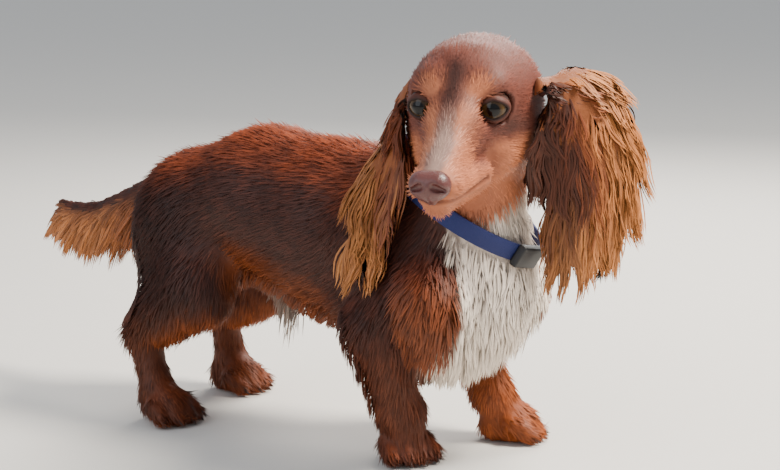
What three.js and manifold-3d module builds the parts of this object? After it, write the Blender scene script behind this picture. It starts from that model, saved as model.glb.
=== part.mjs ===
// A long-haired miniature dachshund, standing with its head turned to its right, as a life-size still model.
// Millimetres, +Z up. The dog faces -Y and its left side is +X. It stands on z = 0.
// Flesh is a field of muscles, blended into one body and parted by thin cuts. Long coat is flat, tapered locks.
import * as THREE from "three";
import { mergeVertices } from "three/addons/utils/BufferGeometryUtils.js";
import Module from "manifold-3d";

const wasm = await Module();
wasm.setup();

// Driving dimensions
const WITHERS_HEIGHT = 177; // floor to the top of the shoulders, with the coat
const CHEST_FLOOR = 52; // floor to the lowest point of the breastbone
const HEAD_YAW = -68.6; // degrees; the head turns to the dog's right
const HEAD_PITCH = 7.2; // degrees; the nose points slightly down
const HEAD_CENTRE = [-52.5, -114.8, 213.6]; // midway between the eyes
const EYE_RADIUS = 9.2;
const EYE_SPREAD = 19.5; // from the head's middle to each eye's centre
const MUZZLE_LENGTH = 67; // eye line to the tip of the nose
const GAP = 0.3; // between touching nodes
const SEED = 20;

// Small vector tools
const vec = (x, y, z) => new THREE.Vector3(x, y, z);
const DOWN = vec(0, 0, -1);
const UP = vec(0, 0, 1);
const LEFT = vec(1, 0, 0);
const BACK = vec(0, 1, 0);
const radians = THREE.MathUtils.degToRad;
const mix = THREE.MathUtils.lerp;
const SIDES = { left: 1, right: -1 };

let drawn = SEED;
// A repeatable random number from -1 to 1.
function sway() {
  drawn = (drawn * 16807) % 2147483647;
  return (drawn / 2147483647) * 2 - 1;
}

// The head's own frame: forward, left and up, from the point midway between the eyes
const headTurn = new THREE.Matrix4()
  .makeTranslation(...HEAD_CENTRE)
  .multiply(new THREE.Matrix4().makeRotationZ(radians(HEAD_YAW)))
  .multiply(new THREE.Matrix4().makeRotationX(radians(HEAD_PITCH)));
// A point of the head's frame, forward, left and up of the eye line.
const onHead = (forward, left, up) => vec(left, -forward, up).applyMatrix4(headTurn);
const headAxis = (forward, left, up) => vec(left, -forward, up).transformDirection(headTurn);
const HEAD_LEFT = headAxis(0, 1, 0);
const HEAD_UP = headAxis(0, 0, 1);

// A muscle is a cone with round ends, squeezed in one direction and blended into the body.
class Muscle {
  constructor(from, fromRadius, to, toRadius, { squeeze = 1, across = LEFT, blend = 14 } = {}) {
    Object.assign(this, { from, across, squeeze, blend, fromRadius, toRadius });
    this.axis = this.squeezed(to.clone().sub(from));
    this.length2 = Math.max(this.axis.lengthSq(), 1e-6);
    this.slope = fromRadius - toRadius;
    this.cone2 = Math.max(this.length2 - this.slope ** 2, 1e-6);
  }

  squeezed(v) {
    return v.addScaledVector(this.across, v.dot(this.across) * (1 / this.squeeze - 1));
  }

  distance(point) {
    const p = this.squeezed(point.clone().sub(this.from));
    const along = p.dot(this.axis);
    const past = along - this.length2;
    const side2 = p.lengthSq() * this.length2 ** 2 - along ** 2 * this.length2;
    const rim = Math.sign(this.slope) * this.slope ** 2 * side2;
    let d;
    if (Math.sign(past) * this.cone2 * past ** 2 * this.length2 > rim) {
      d = Math.sqrt(side2 + past ** 2 * this.length2) / this.length2 - this.toRadius;
    } else if (Math.sign(along) * this.cone2 * along ** 2 * this.length2 < rim) {
      d = Math.sqrt(side2 + along ** 2 * this.length2) / this.length2 - this.fromRadius;
    } else {
      d = (Math.sqrt((side2 * this.cone2) / this.length2) + along * this.slope) / this.length2 - this.fromRadius;
    }
    return d * Math.min(this.squeeze, 1);
  }
}

const muscle = (...given) => new Muscle(...given);
const ball = (centre, radius, given) => new Muscle(centre, radius, centre.clone().addScaledVector(UP, 0.1), radius, given);

// The distance to the blended body, negative inside it.
function fieldOf(muscles, hollows = []) {
  return (point) => {
    let d = Infinity;
    for (const m of muscles) {
      const next = m.distance(point);
      const near = d === Infinity ? 0 : Math.max(m.blend - Math.abs(d - next), 0) / m.blend;
      d = Math.min(d, next) - (near ** 2 * m.blend) / 4;
    }
    for (const h of hollows) {
      const cut = -h.distance(point);
      const near = Math.max(h.blend - Math.abs(d - cut), 0) / h.blend;
      d = Math.max(d, cut) + (near ** 2 * h.blend) / 4;
    }
    return d;
  };
}

function slopeOf(field, point, step = 0.5) {
  const at = (x, y, z) => field(vec(point.x + x, point.y + y, point.z + z));
  return vec(
    at(step, 0, 0) - at(-step, 0, 0),
    at(0, step, 0) - at(0, -step, 0),
    at(0, 0, step) - at(0, 0, -step),
  ).divideScalar(2 * step);
}

// Trunk
const WITHERS = vec(0, -50, WITHERS_HEIGHT - 60);
const RIBS_END = vec(0, 7, 129);
const LOIN = vec(0, 64, 139);
const CROUP = vec(0, 120, 130);
const TAIL_ROOT = vec(0, 158, 139);
const NECK_ROOT = vec(0, -60, 138);
const NECK_TOP = vec(2, -92, 188);
const BREAST = vec(-2, -92, 102);
const KEEL = vec(0, -60, CHEST_FLOOR + 34);

const trunk = [
  muscle(WITHERS, 59, RIBS_END, 50, { squeeze: 0.86, blend: 20 }),
  muscle(RIBS_END, 50, LOIN, 44, { squeeze: 0.92, blend: 20 }),
  muscle(LOIN, 44, CROUP, 40, { squeeze: 0.98, blend: 20 }),
  muscle(BREAST, 32, KEEL, 34, { blend: 24 }),
  muscle(CROUP, 28, TAIL_ROOT, 12, { blend: 16 }),
  muscle(vec(0, 96, 104), 10, vec(0, 52, 92), 7, { blend: 8 }),
];
const neck = [
  muscle(NECK_ROOT, 42, NECK_TOP, 33, { squeeze: 0.94, blend: 26 }),
  muscle(vec(-2, -88, 128), 30, onHead(-34, 0, -46), 22, { blend: 22 }),
];

// Legs: the shoulder or hip, the joints below it, and a paw turned by some degrees
const LEGS = {
  fore: {
    left: {
      joints: [vec(34, -44, 134), vec(44, -80, 98), vec(47, -48, 84), vec(43, -72, 30), vec(49, -84, 12)],
      radii: [26, 25, 20, 13, 12],
      turn: 34,
    },
    right: {
      joints: [vec(-34, -44, 134), vec(-42, -82, 98), vec(-44, -52, 84), vec(-32, -60, 30), vec(-30, -62, 12)],
      radii: [26, 25, 20, 14.5, 12],
      turn: -28,
    },
  },
  hind: {
    left: {
      joints: [vec(22, 116, 124), vec(38, 92, 88), vec(42, 146, 52), vec(42, 140, 18), vec(41, 132, 11)],
      radii: [36, 24, 11.5, 11, 11],
      turn: 8,
    },
    right: {
      joints: [vec(-22, 116, 124), vec(-40, 94, 88), vec(-44, 137, 54), vec(-48, 121, 18), vec(-49, 111, 11)],
      radii: [36, 24, 12, 11, 11],
      turn: -10,
    },
  },
};
const TOES = 4;
const TOE_SPACING = 8.4;

function pawMuscles(centre, turn) {
  const frame = new THREE.Matrix4().makeTranslation(centre.x, centre.y, 0).multiply(new THREE.Matrix4().makeRotationZ(radians(turn)));
  const at = (left, forward, up) => vec(left, -forward, up).applyMatrix4(frame);
  const toes = [];
  for (let i = 0; i < TOES; i++) {
    const across = (i - (TOES - 1) / 2) * TOE_SPACING;
    const reach = 15 - Math.abs(i - (TOES - 1) / 2) * 4;
    toes.push({ knuckle: at(across * 0.9, reach - 9, 12), tip: at(across * 1.06, reach, 7), beyond: at(across * 1.14, reach + 9, 3.4) });
  }
  const muscles = [muscle(at(0, -11, 9), 11, at(0, 3, 10), 13, { blend: 8 })];
  return { muscles, toes };
}

function legMuscles({ joints, radii, turn }, isFore) {
  const [top, bend, low, ankle, foot] = joints;
  const [r0, r1, r2, r3, r4] = radii;
  const thigh = isFore
    ? [muscle(top, r0, bend, r1, { squeeze: 0.8 }), muscle(bend, r1, low, r2, { squeeze: 0.9, blend: 12 })]
    : [
        muscle(top, r0, bend, r1, { squeeze: 0.72, blend: 16 }),
        muscle(bend, r1, low.clone().lerp(bend, 0.35), 15, { squeeze: 0.8, blend: 16 }),
        muscle(top.clone().add(vec(0, 14, -8)), 22, low.clone().lerp(bend, 0.5), 13, { squeeze: 0.8, blend: 18 }),
      ];
  const shin = isFore
    ? [muscle(low, r2 - 2, ankle, r3, { blend: 12 })]
    : [muscle(bend.clone().lerp(low, 0.5), 16, low, r2, { blend: 12 }), muscle(low, r2, ankle, r3, { blend: 8 })];
  return [...thigh, ...shin, muscle(ankle, r3, foot, r4, { blend: 8 }), ...pawMuscles(foot, turn).muscles];
}

const legs = Object.entries(LEGS).flatMap(([place, pair]) => Object.values(pair).map((leg) => legMuscles(leg, place === "fore")));

// Head, in its own frame
const eyeCentre = (s) => onHead(-6.4, s * EYE_SPREAD, 0);
const NOSE_FORWARD = MUZZLE_LENGTH - 8.5;
const both = (make) => Object.values(SIDES).flatMap(make);
const head = [
  muscle(onHead(-46, 0, -3), 35.5, onHead(-30, 0, -1), 33, { squeeze: 1.08, across: HEAD_LEFT, blend: 16 }),
  muscle(onHead(-20, 0, -1), 24, onHead(2, 0, -8), 18, { blend: 12 }),
  muscle(onHead(0, 0, -12), 17.5, onHead(MUZZLE_LENGTH - 18, 0, -29), 10.5, { squeeze: 0.94, across: HEAD_LEFT, blend: 12 }),
  muscle(onHead(-34, 0, -40), 17, onHead(MUZZLE_LENGTH - 22, 0, -41), 8, { squeeze: 1.05, across: HEAD_LEFT, blend: 6 }),
  ...both((s) => [
    muscle(onHead(-36, s * 20, -20), 18, onHead(-16, s * 16, -28), 13, { blend: 12 }),
    muscle(onHead(MUZZLE_LENGTH - 18, s * 6.5, -32), 8.5, onHead(8, s * 12, -35), 9.5, { blend: 6 }),
    ball(onHead(-9, s * 16, 9), 11, { blend: 8 }),
  ]),
];
const eyeHollows = both((s) => [ball(onHead(4, s * 20.5, -1), 5.5, { blend: 6 })]);

const bodyField = fieldOf([...trunk, ...neck, ...legs.flat(), ...head], eyeHollows);

// A closed mesh from points and triangles.
function solidOf(points, triangles) {
  const vertProperties = new Float32Array(points.flatMap((p) => [p.x, p.y, p.z]));
  const triVerts = new Uint32Array(triangles.flat());
  return new wasm.Manifold(new wasm.Mesh({ numProp: 3, vertProperties, triVerts }));
}

function solidOfGeometry(geometry, matrix = new THREE.Matrix4()) {
  const bare = geometry.clone().applyMatrix4(matrix);
  bare.deleteAttribute("normal");
  bare.deleteAttribute("uv");
  const merged = mergeVertices(bare, 1e-4);
  return new wasm.Manifold(
    new wasm.Mesh({ numProp: 3, vertProperties: merged.attributes.position.array, triVerts: new Uint32Array(merged.index.array) }),
  );
}

// The surface of a field inside a box, as a net of cells of one size, each corner pulled onto the surface.
function netSolid(field, low, high, cell, grow = 0) {
  const n = ["x", "y", "z"].map((k) => Math.ceil((high[k] - low[k]) / cell) + 1);
  const value = new Float64Array(n[0] * n[1] * n[2]);
  const index = (i, j, k) => (k * n[1] + j) * n[0] + i;
  const place = (i, j, k) => vec(low.x + i * cell, low.y + j * cell, low.z + k * cell);
  const edge = (i, j, k) => [i, j, k].some((c, a) => c === 0 || c === n[a] - 1);
  for (let k = 0; k < n[2]; k++) {
    for (let j = 0; j < n[1]; j++) {
      for (let i = 0; i < n[0]; i++) {
        const d = field(place(i, j, k)) - grow;
        value[index(i, j, k)] = edge(i, j, k) ? Math.max(d, cell * 0.4) : d;
      }
    }
  }
  const corner = new Map();
  const points = [];
  const cornerOf = (i, j, k) => {
    const key = index(i, j, k);
    if (!corner.has(key)) {
      const sum = vec(0, 0, 0);
      let crossings = 0;
      for (let a = 0; a < 3; a++) {
        for (let c = 0; c < 4; c++) {
          const start = [i, j, k];
          start[(a + 1) % 3] += c & 1;
          start[(a + 2) % 3] += c >> 1;
          const end = [...start];
          end[a] += 1;
          const [va, vb] = [value[index(...start)], value[index(...end)]];
          if (va < 0 !== vb < 0) {
            sum.add(place(...start).lerp(place(...end), va / (va - vb)));
            crossings++;
          }
        }
      }
      const p = sum.divideScalar(crossings);
      const home = p.clone();
      const free = p.x > low.x + cell && p.y > low.y + cell && p.z > low.z + cell;
      if (free && p.x < high.x - cell && p.y < high.y - cell && p.z < high.z - cell) {
        const slope = slopeOf(field, p);
        p.addScaledVector(slope, (grow - field(p)) / Math.max(slope.lengthSq(), 0.25));
        p.sub(home).clampLength(0, cell * 0.5).add(home);
      }
      corner.set(key, points.push(p) - 1);
    }
    return corner.get(key);
  };
  const triangles = [];
  for (let k = 0; k < n[2] - 1; k++) {
    for (let j = 0; j < n[1] - 1; j++) {
      for (let i = 0; i < n[0] - 1; i++) {
        for (let a = 0; a < 3; a++) {
          const end = [i, j, k];
          if (end[(a + 1) % 3] === 0 || end[(a + 2) % 3] === 0) continue;
          end[a] += 1;
          const [va, vb] = [value[index(i, j, k)], value[index(...end)]];
          if (va < 0 === vb < 0) continue;
          const cellAt = (b, c) => {
            const at = [i, j, k];
            at[(a + 1) % 3] -= b;
            at[(a + 2) % 3] -= c;
            return cornerOf(...at);
          };
          const ring = [cellAt(1, 1), cellAt(0, 1), cellAt(0, 0), cellAt(1, 0)];
          if (va >= 0) ring.reverse();
          const [p, q, r, s] = ring;
          const short = points[p].distanceTo(points[r]) <= points[q].distanceTo(points[s]);
          triangles.push(...(short ? [[p, q, r], [p, r, s]] : [[p, q, s], [q, r, s]]));
        }
      }
    }
  }
  return largest(solidOf(points, triangles));
}

function largest(solid) {
  return solid.decompose().reduce((best, next) => (next.volume() > best.volume() ? next : best));
}

// A solid swept through rings of points, closed at both ends or looped back to its start.
function sweptSolid(rings, looped = false) {
  const around = rings[0].length;
  const points = rings.flat();
  const triangles = [];
  for (let i = 0; i + (looped ? 0 : 1) < rings.length; i++) {
    const next = ((i + 1) % rings.length) * around;
    for (let j = 0; j < around; j++) {
      const beside = (j + 1) % around;
      const [a, b] = [i * around + j, i * around + beside];
      triangles.push([a, b, next + beside], [a, next + beside, next + j]);
    }
  }
  const last = (rings.length - 1) * around;
  for (let j = 1; j + 1 < around && !looped; j++) {
    triangles.push([0, j + 1, j], [last, last + j, last + j + 1]);
  }
  const made = solidOf(points, triangles);
  if (made.volume() > 0) return made;
  return solidOf(points, triangles.map(([a, b, c]) => [a, c, b]));
}

function joined(solids) {
  return wasm.Manifold.union(solids);
}

// A box whose centre, half sizes and turn are given, grown on every side.
function boxSolid(centre, half, grow = 0, turn = new THREE.Euler()) {
  const geometry = new THREE.BoxGeometry(...half.clone().addScalar(grow).multiplyScalar(2).toArray());
  const matrix = new THREE.Matrix4().compose(centre, new THREE.Quaternion().setFromEuler(turn), vec(1, 1, 1));
  return solidOfGeometry(geometry, matrix);
}

// All that lies past a plane, in the direction of its normal.
function sideOf(point, normal, grow = 0, reach = 260) {
  const toward = new THREE.Quaternion().setFromUnitVectors(UP, normal.clone().normalize());
  const centre = point.clone().addScaledVector(normal.clone().normalize(), reach - grow);
  const matrix = new THREE.Matrix4().compose(centre, toward, vec(1, 1, 1));
  return solidOfGeometry(new THREE.BoxGeometry(reach * 2, reach * 2, reach * 2), matrix);
}

// A lock of hair: flat, tapered to its tip, bending from its root's direction towards where it hangs.
const LOCK_STEPS = 4;
function lockSolid({ root, along, flat, length, width, thick, hang = DOWN, bend = 0.6, curl = 0, rest }) {
  const rings = [];
  const centre = root.clone();
  const step = length / LOCK_STEPS;
  for (let i = 0; i <= LOCK_STEPS; i++) {
    const t = i / LOCK_STEPS;
    const direction = along.clone().lerp(hang, bend * t).normalize();
    const side = direction.clone().cross(flat).normalize();
    direction.addScaledVector(side, curl * Math.sin(t * Math.PI * 1.4)).normalize();
    const across = direction.clone().cross(flat).normalize();
    const face = across.clone().cross(direction).normalize();
    const fullness = Math.max((1 - t ** 2) * (0.72 + 1.1 * t * (1 - t)), 0.06);
    const half = (width / 2) * fullness;
    const deep = (thick / 2) * Math.max(1 - t ** 2, 0.16);
    rings.push([
      centre.clone().addScaledVector(across, half),
      centre.clone().addScaledVector(face, deep),
      centre.clone().addScaledVector(across, -half),
      centre.clone().addScaledVector(face, -deep),
    ]);
    centre.addScaledVector(direction, step);
    if (rest) draped(centre, rest);
  }
  return sweptSolid(rings);
}

// The point where a ray from inside leaves the body, with the way out from its surface.
function skinPoint(inside, direction, field = bodyField) {
  const p = inside.clone();
  const way = direction.clone().normalize();
  for (let i = 0; i < 80 && field(p) < -0.1; i++) p.addScaledVector(way, Math.max(-field(p) * 0.7, 0.3));
  return { point: p, out: slopeOf(field, p).normalize() };
}

// A lock rooted in the skin, lying along it in the given direction.
function skinLock({ inside, direction, lie, lift = 0.25, sink = 5, ...shape }) {
  const { point, out } = skinPoint(inside, direction);
  const along = lie.clone().addScaledVector(out, -lie.dot(out)).normalize().addScaledVector(out, lift).normalize();
  const root = point.clone().addScaledVector(out, -sink).addScaledVector(along, -sink * 0.5);
  return { root, along, flat: out, ...shape };
}

// Ears: a leather flap that hangs from the side of the skull, cupped towards the head
const EAR_ROWS = 8;
const EAR_AROUND = 8;
const EARS = {
  left: {
    path: [onHead(-42, 35, 7), onHead(-44, 49, 6), onHead(-45, 62, -12), onHead(-45, 66, -44), onHead(-44, 63, -78)],
    spread: headAxis(-0.62, 0.78, 0),
    outward: headAxis(0.3, 1, 0),
    widths: [9, 25, 33, 32, 25],
    locks: { tiers: 4, across: 5, length: 44, flare: 0.36 },
  },
  right: {
    path: [onHead(-38, -33, 5), onHead(-38, -41, -1), onHead(-33, -46, -24), onHead(-22, -50, -50), onHead(-10, -53, -76)],
    spread: headAxis(-0.95, -0.3, 0),
    outward: headAxis(0.3, -1, 0),
    widths: [9, 18, 23, 24, 20],
    locks: { tiers: 4, across: 4, length: 44, flare: 0.2 },
  },
};
const EAR_THICK = 3.4;
const EAR_CUP = 6;
const EAR_REST = 8.5; // from the body to the middle of an ear that lies on it

// Moves a point out until it lies a given distance off the body.
function draped(point, rest) {
  for (let i = 0; i < 4 && bodyField(point) < rest; i++) {
    point.addScaledVector(slopeOf(bodyField, point).normalize(), rest - bodyField(point));
  }
  return point;
}

// A place on an ear: t runs from its root to its tip, u from its front edge (-1) to its back edge (1).
function earPlace(ear, t, u) {
  const curve = new THREE.CatmullRomCurve3(ear.path);
  const centre = curve.getPointAt(t);
  const tangent = curve.getTangentAt(t);
  const spread = ear.spread.clone().addScaledVector(tangent, -ear.spread.dot(tangent)).normalize();
  const out = tangent.clone().cross(spread).normalize();
  if (out.dot(ear.outward) < 0) out.negate();
  const span = t * (ear.widths.length - 1);
  const i = Math.min(Math.floor(span), ear.widths.length - 2);
  const half = mix(ear.widths[i], ear.widths[i + 1], span - i);
  const point = centre.clone().addScaledVector(spread, u * half).addScaledVector(out, -EAR_CUP * u * u);
  draped(point, EAR_REST * Math.min(t / 0.3, 1));
  return { point, tangent, spread, out };
}

function earLeather(ear) {
  const rings = [];
  for (let row = 0; row <= EAR_ROWS; row++) {
    const t = row / EAR_ROWS;
    const ring = [];
    for (let j = 0; j < EAR_AROUND; j++) {
      const angle = (j / EAR_AROUND) * Math.PI * 2;
      const { point, out } = earPlace(ear, t, Math.cos(angle));
      const taper = row === EAR_ROWS ? 0.35 : 1;
      ring.push(point.addScaledVector(out, Math.sin(angle) * EAR_THICK * taper));
    }
    rings.push(ring);
  }
  return sweptSolid(rings);
}

function earLocks(ear) {
  const { tiers, across, length, flare } = ear.locks;
  const made = [];
  for (let tier = 0; tier < tiers; tier++) {
    const t = 0.3 + (0.68 * tier) / (tiers - 1);
    for (let j = 0; j < across; j++) {
      const u = ((j + (tier % 2 ? 0.5 : 0)) / (across - 0.5)) * 1.9 - 0.95;
      const { point, tangent, spread, out } = earPlace(ear, Math.min(t + sway() * 0.03, 0.99), u);
      const along = tangent.clone().addScaledVector(spread, u * flare + sway() * 0.1).addScaledVector(out, 0.28).normalize();
      made.push({
        root: point.clone().addScaledVector(out, -1.2).addScaledVector(tangent, -3),
        along,
        flat: out,
        length: length * (0.8 + 0.16 * sway()) * mix(0.85, 1.05, t),
        width: 19 + 2 * sway(),
        thick: 4.4,
        rest: EAR_REST,
        bend: 0.75,
        curl: 0.24 * sway(),
      });
    }
  }
  return made;
}

// Tail: a tapered dock, with a plume that hangs from it
const TAIL_PATH = [vec(0, 146, 141), vec(0, 162, 138), vec(3, 192, 128), vec(6, 220, 119), vec(8, 244, 116), vec(11, 264, 118)];
const TAIL_RADII = [13, 12, 10.5, 9, 7.5, 4.5];
const TAIL_ROWS = 8;
const TAIL_AROUND = 7;
const tailCurve = new THREE.CatmullRomCurve3(TAIL_PATH);

function tailRadius(t) {
  const span = t * (TAIL_RADII.length - 1);
  const i = Math.min(Math.floor(span), TAIL_RADII.length - 2);
  return mix(TAIL_RADII[i], TAIL_RADII[i + 1], span - i);
}

function tailDock() {
  const rings = [];
  for (let row = 0; row <= TAIL_ROWS; row++) {
    const t = row / TAIL_ROWS;
    const tangent = tailCurve.getTangentAt(t);
    const side = tangent.clone().cross(UP).normalize();
    const top = side.clone().cross(tangent).normalize();
    const radius = (row === TAIL_ROWS ? 0.5 : 1) * tailRadius(t);
    const ring = [];
    for (let j = 0; j < TAIL_AROUND; j++) {
      const angle = (j / TAIL_AROUND) * Math.PI * 2;
      ring.push(tailCurve.getPointAt(t).addScaledVector(side, Math.cos(angle) * radius).addScaledVector(top, Math.sin(angle) * radius));
    }
    rings.push(ring);
  }
  return sweptSolid(rings);
}

const PLUME_LOCKS = 7;
function tailLocks() {
  const made = [];
  for (let i = 0; i < PLUME_LOCKS; i++) {
    const t = 0.3 + (0.68 * i) / (PLUME_LOCKS - 1);
    const tangent = tailCurve.getTangentAt(t);
    const side = tangent.clone().cross(UP).normalize();
    for (const s of [-1, 1]) {
      const root = tailCurve.getPointAt(t).addScaledVector(side, s * tailRadius(t) * 0.35).addScaledVector(UP, -tailRadius(t) * 0.2);
      made.push({
        root,
        along: tangent.clone().multiplyScalar(0.85).add(DOWN).addScaledVector(side, s * 0.24).normalize(),
        flat: side,
        length: mix(50, 24, t) * (1 + 0.1 * sway()),
        width: 17,
        thick: 4.4,
        bend: 0.4,
        curl: 0.12 * sway(),
      });
    }
  }
  const tip = tailCurve.getPointAt(0.96);
  made.push({ root: tip, along: tailCurve.getTangentAt(1), flat: LEFT, length: 26, width: 11, thick: 4, bend: 0.7 });
  return made;
}

// Long coat of the chest, belly and legs
const CHEST_ROWS = [
  { z: 126, spread: 46, count: 4, length: 32 },
  { z: 106, spread: 56, count: 5, length: 30 },
  { z: 84, spread: 50, count: 4, length: 28 },
];
const chestLocks = () =>
  CHEST_ROWS.flatMap(({ z, spread, count, length }, row) =>
    Array.from({ length: count }, (_, i) => {
      const angle = radians(((i + (row % 2) * 0.3) / (count - 1) - 0.5) * 2 * spread);
      const direction = vec(Math.sin(angle), -Math.cos(angle), 0);
      return skinLock({
        inside: vec(0, -70, z),
        direction,
        lie: DOWN.clone().addScaledVector(BACK, 0.1),
        length: length * (1 + 0.1 * sway()),
        width: 23,
        thick: 6,
        lift: 0.14,
        sink: 3.5,
        bend: 0.2,
        curl: 0.15 * sway(),
      });
    }),
  );

const BELLY_LOCKS = 5;
const bellyLocks = () =>
  Array.from({ length: BELLY_LOCKS }, (_, i) =>
    skinLock({
      inside: vec((i % 2 ? 12 : -12), mix(-22, 66, i / (BELLY_LOCKS - 1)), 120),
      direction: vec((i % 2 ? 0.35 : -0.35), 0, -1),
      lie: BACK.clone().addScaledVector(DOWN, 0.3),
      lift: 0.5,
      length: 22,
      width: 15,
      thick: 4,
      bend: 0.4,
    }),
  );

const TUFT_LOCKS = 4;
const bellyTuft = () =>
  Array.from({ length: TUFT_LOCKS }, (_, i) => ({
    root: vec((i - (TUFT_LOCKS - 1) / 2) * 4, 44 + 3 * (i % 2), 92),
    along: vec((i - (TUFT_LOCKS - 1) / 2) * 0.12, -0.65, -1).normalize(),
    flat: LEFT,
    length: 46 - 5 * (i % 2),
    width: 12,
    thick: 4,
    bend: 0.25,
    curl: 0.1 * sway(),
  }));

const FEATHERS = 4;
function foreFeathers({ joints }, side) {
  const [, , elbow, wrist] = joints;
  return Array.from({ length: FEATHERS }, (_, i) => {
    const inside = elbow.clone().lerp(wrist, i / (FEATHERS - 0.5));
    return skinLock({
      inside,
      direction: vec(side * 0.25, 1, -0.1),
      lie: DOWN.clone().addScaledVector(BACK, 0.35),
      lift: 0.4,
      length: mix(27, 18, i / FEATHERS),
      width: 13,
      thick: 4,
      bend: 0.4,
      curl: 0.15 * sway(),
    });
  });
}

const BREECHES = 5;
function hindFeathers({ joints }, side) {
  const [hip, , hock] = joints;
  return Array.from({ length: BREECHES }, (_, i) => {
    const inside = hip.clone().add(vec(0, 14, -6)).lerp(hock, (i + 0.5) / (BREECHES + 1));
    return skinLock({
      inside,
      direction: vec(side * (i % 2 ? 0.5 : 0), 1, 0),
      lie: DOWN.clone().addScaledVector(BACK, 0.1),
      lift: 0.3,
      length: mix(30, 20, i / BREECHES),
      width: 15,
      thick: 4,
      bend: 0.3,
      curl: 0.12 * sway(),
    });
  });
}

// Where the body is parted
const NECK_CUT = { point: vec(0, -74, 152), normal: vec(-0.05, -0.66, 0.75).normalize() };
const HEAD_CUT = { point: onHead(-52, 0, -34), normal: headAxis(0.55, 0, 0.83) };
const TAIL_CUT = { point: TAIL_ROOT.clone().add(vec(0, 2, 0)), normal: vec(0, 0.95, -0.3).normalize() };
const legBox = (place, s, grow) =>
  place === "fore"
    ? boxSolid(vec(s * 80, -70, 48), vec(60, 52, 56), grow, new THREE.Euler(0, s * 0.16, 0))
    : boxSolid(vec(s * 78, 138, 54), vec(62, 80, 62), grow, new THREE.Euler(0, s * 0.12, 0));

// Grids for each stretch of the body, finest on the head and the feet
const CELLS = { torso: 15, neck: 12, skull: 11, face: 6.4, leg: 11.5, paw: 8, nose: 4.4 };
const PAW_TOP = 30;
const COAT_CLEAR = 0.7; // hanging hair to the body beneath it

const floorCut = () => sideOf(vec(0, 0, 0), DOWN);

function torsoCore(grow) {
  const net = netSolid(bodyField, vec(-86, -150, 24), vec(86, 208, 200), CELLS.torso, grow);
  let solid = net.subtract(sideOf(NECK_CUT.point, NECK_CUT.normal, GAP / 2 - grow));
  solid = solid.subtract(sideOf(TAIL_CUT.point, TAIL_CUT.normal, GAP / 2 - grow));
  for (const s of Object.values(SIDES)) {
    solid = solid.subtract(legBox("fore", s, GAP / 2 - grow)).subtract(legBox("hind", s, GAP / 2 - grow));
  }
  return largest(solid);
}

function neckCore(grow) {
  const net = netSolid(bodyField, vec(-84, -176, 96), vec(76, 4, 262), CELLS.neck, grow);
  const solid = net
    .intersect(sideOf(NECK_CUT.point, NECK_CUT.normal, grow - GAP / 2))
    .subtract(sideOf(HEAD_CUT.point, HEAD_CUT.normal, GAP / 2 - grow));
  return largest(solid);
}

// The face has a finer net than the back of the skull.
const FACE_START = -14;
const FACE_OVERLAP = 0.5;
function headPart([rear, front], cell, grow) {
  const corners = [rear, front].flatMap((f) => [-50, 50].flatMap((l) => [-66, 50].map((u) => onHead(f, l, u))));
  const box = new THREE.Box3().setFromPoints(corners);
  return netSolid(bodyField, box.min, box.max, cell, grow);
}

function headCore(grow) {
  const ahead = [onHead(FACE_START, 0, 0), headAxis(1, 0, 0)];
  const skull = headPart([-100, FACE_START + 12], CELLS.skull, grow).subtract(sideOf(...ahead));
  const face = headPart([FACE_START - 8, 76], CELLS.face, grow).intersect(sideOf(...ahead, FACE_OVERLAP));
  return largest(skull.add(face).intersect(sideOf(HEAD_CUT.point, HEAD_CUT.normal, grow - GAP / 2)));
}

// Nose leather, with comma-shaped nostrils
const noseField = fieldOf([
  muscle(onHead(NOSE_FORWARD, -4, -28), 7.6, onHead(NOSE_FORWARD, 4, -28), 7.6, { blend: 4 }),
  muscle(onHead(NOSE_FORWARD, 0, -31), 6, onHead(NOSE_FORWARD - 3, 0, -37), 3.2, { blend: 4 }),
]);

function noseCore(grow) {
  const centre = onHead(NOSE_FORWARD, 0, -30);
  const half = vec(20, 20, 18);
  return netSolid(noseField, centre.clone().sub(half), centre.clone().add(half), CELLS.nose, grow);
}

const roundSolid = (centre, radius, detail) =>
  solidOfGeometry(new THREE.IcosahedronGeometry(radius, detail), new THREE.Matrix4().setPosition(centre));

function nostrils() {
  return both((s) => [
    roundSolid(onHead(NOSE_FORWARD + 6.6, s * 4.4, -28), 2.4, 1),
    roundSolid(onHead(NOSE_FORWARD + 4.4, s * 7.8, -29.5), 1.8, 1),
  ]);
}

// Lids: a shell raised round each eye, open in an almond
const LID_RAISE = 1.5;
const LID_OPEN = { width: 17.5, height: 12.5 };
function almondSolid(s) {
  const { width, height } = LID_OPEN;
  const outline = new THREE.Shape();
  outline.moveTo(-width / 2, -1);
  outline.quadraticCurveTo(-2, height * 0.98, width / 2, 0.5);
  outline.quadraticCurveTo(1, -height * 0.98, -width / 2, -1);
  const geometry = new THREE.ExtrudeGeometry(outline, { depth: 30, bevelEnabled: false, curveSegments: 6 });
  const gaze = headAxis(0.95, s * 0.3, 0.02);
  const across = HEAD_UP.clone().cross(gaze).normalize();
  const matrix = new THREE.Matrix4().makeBasis(across.multiplyScalar(s), gaze.clone().cross(across).multiplyScalar(s), gaze);
  if (s < 0) matrix.makeBasis(HEAD_UP.clone().cross(gaze).normalize(), HEAD_UP, gaze);
  matrix.setPosition(eyeCentre(s));
  return solidOfGeometry(geometry, matrix);
}

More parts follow.
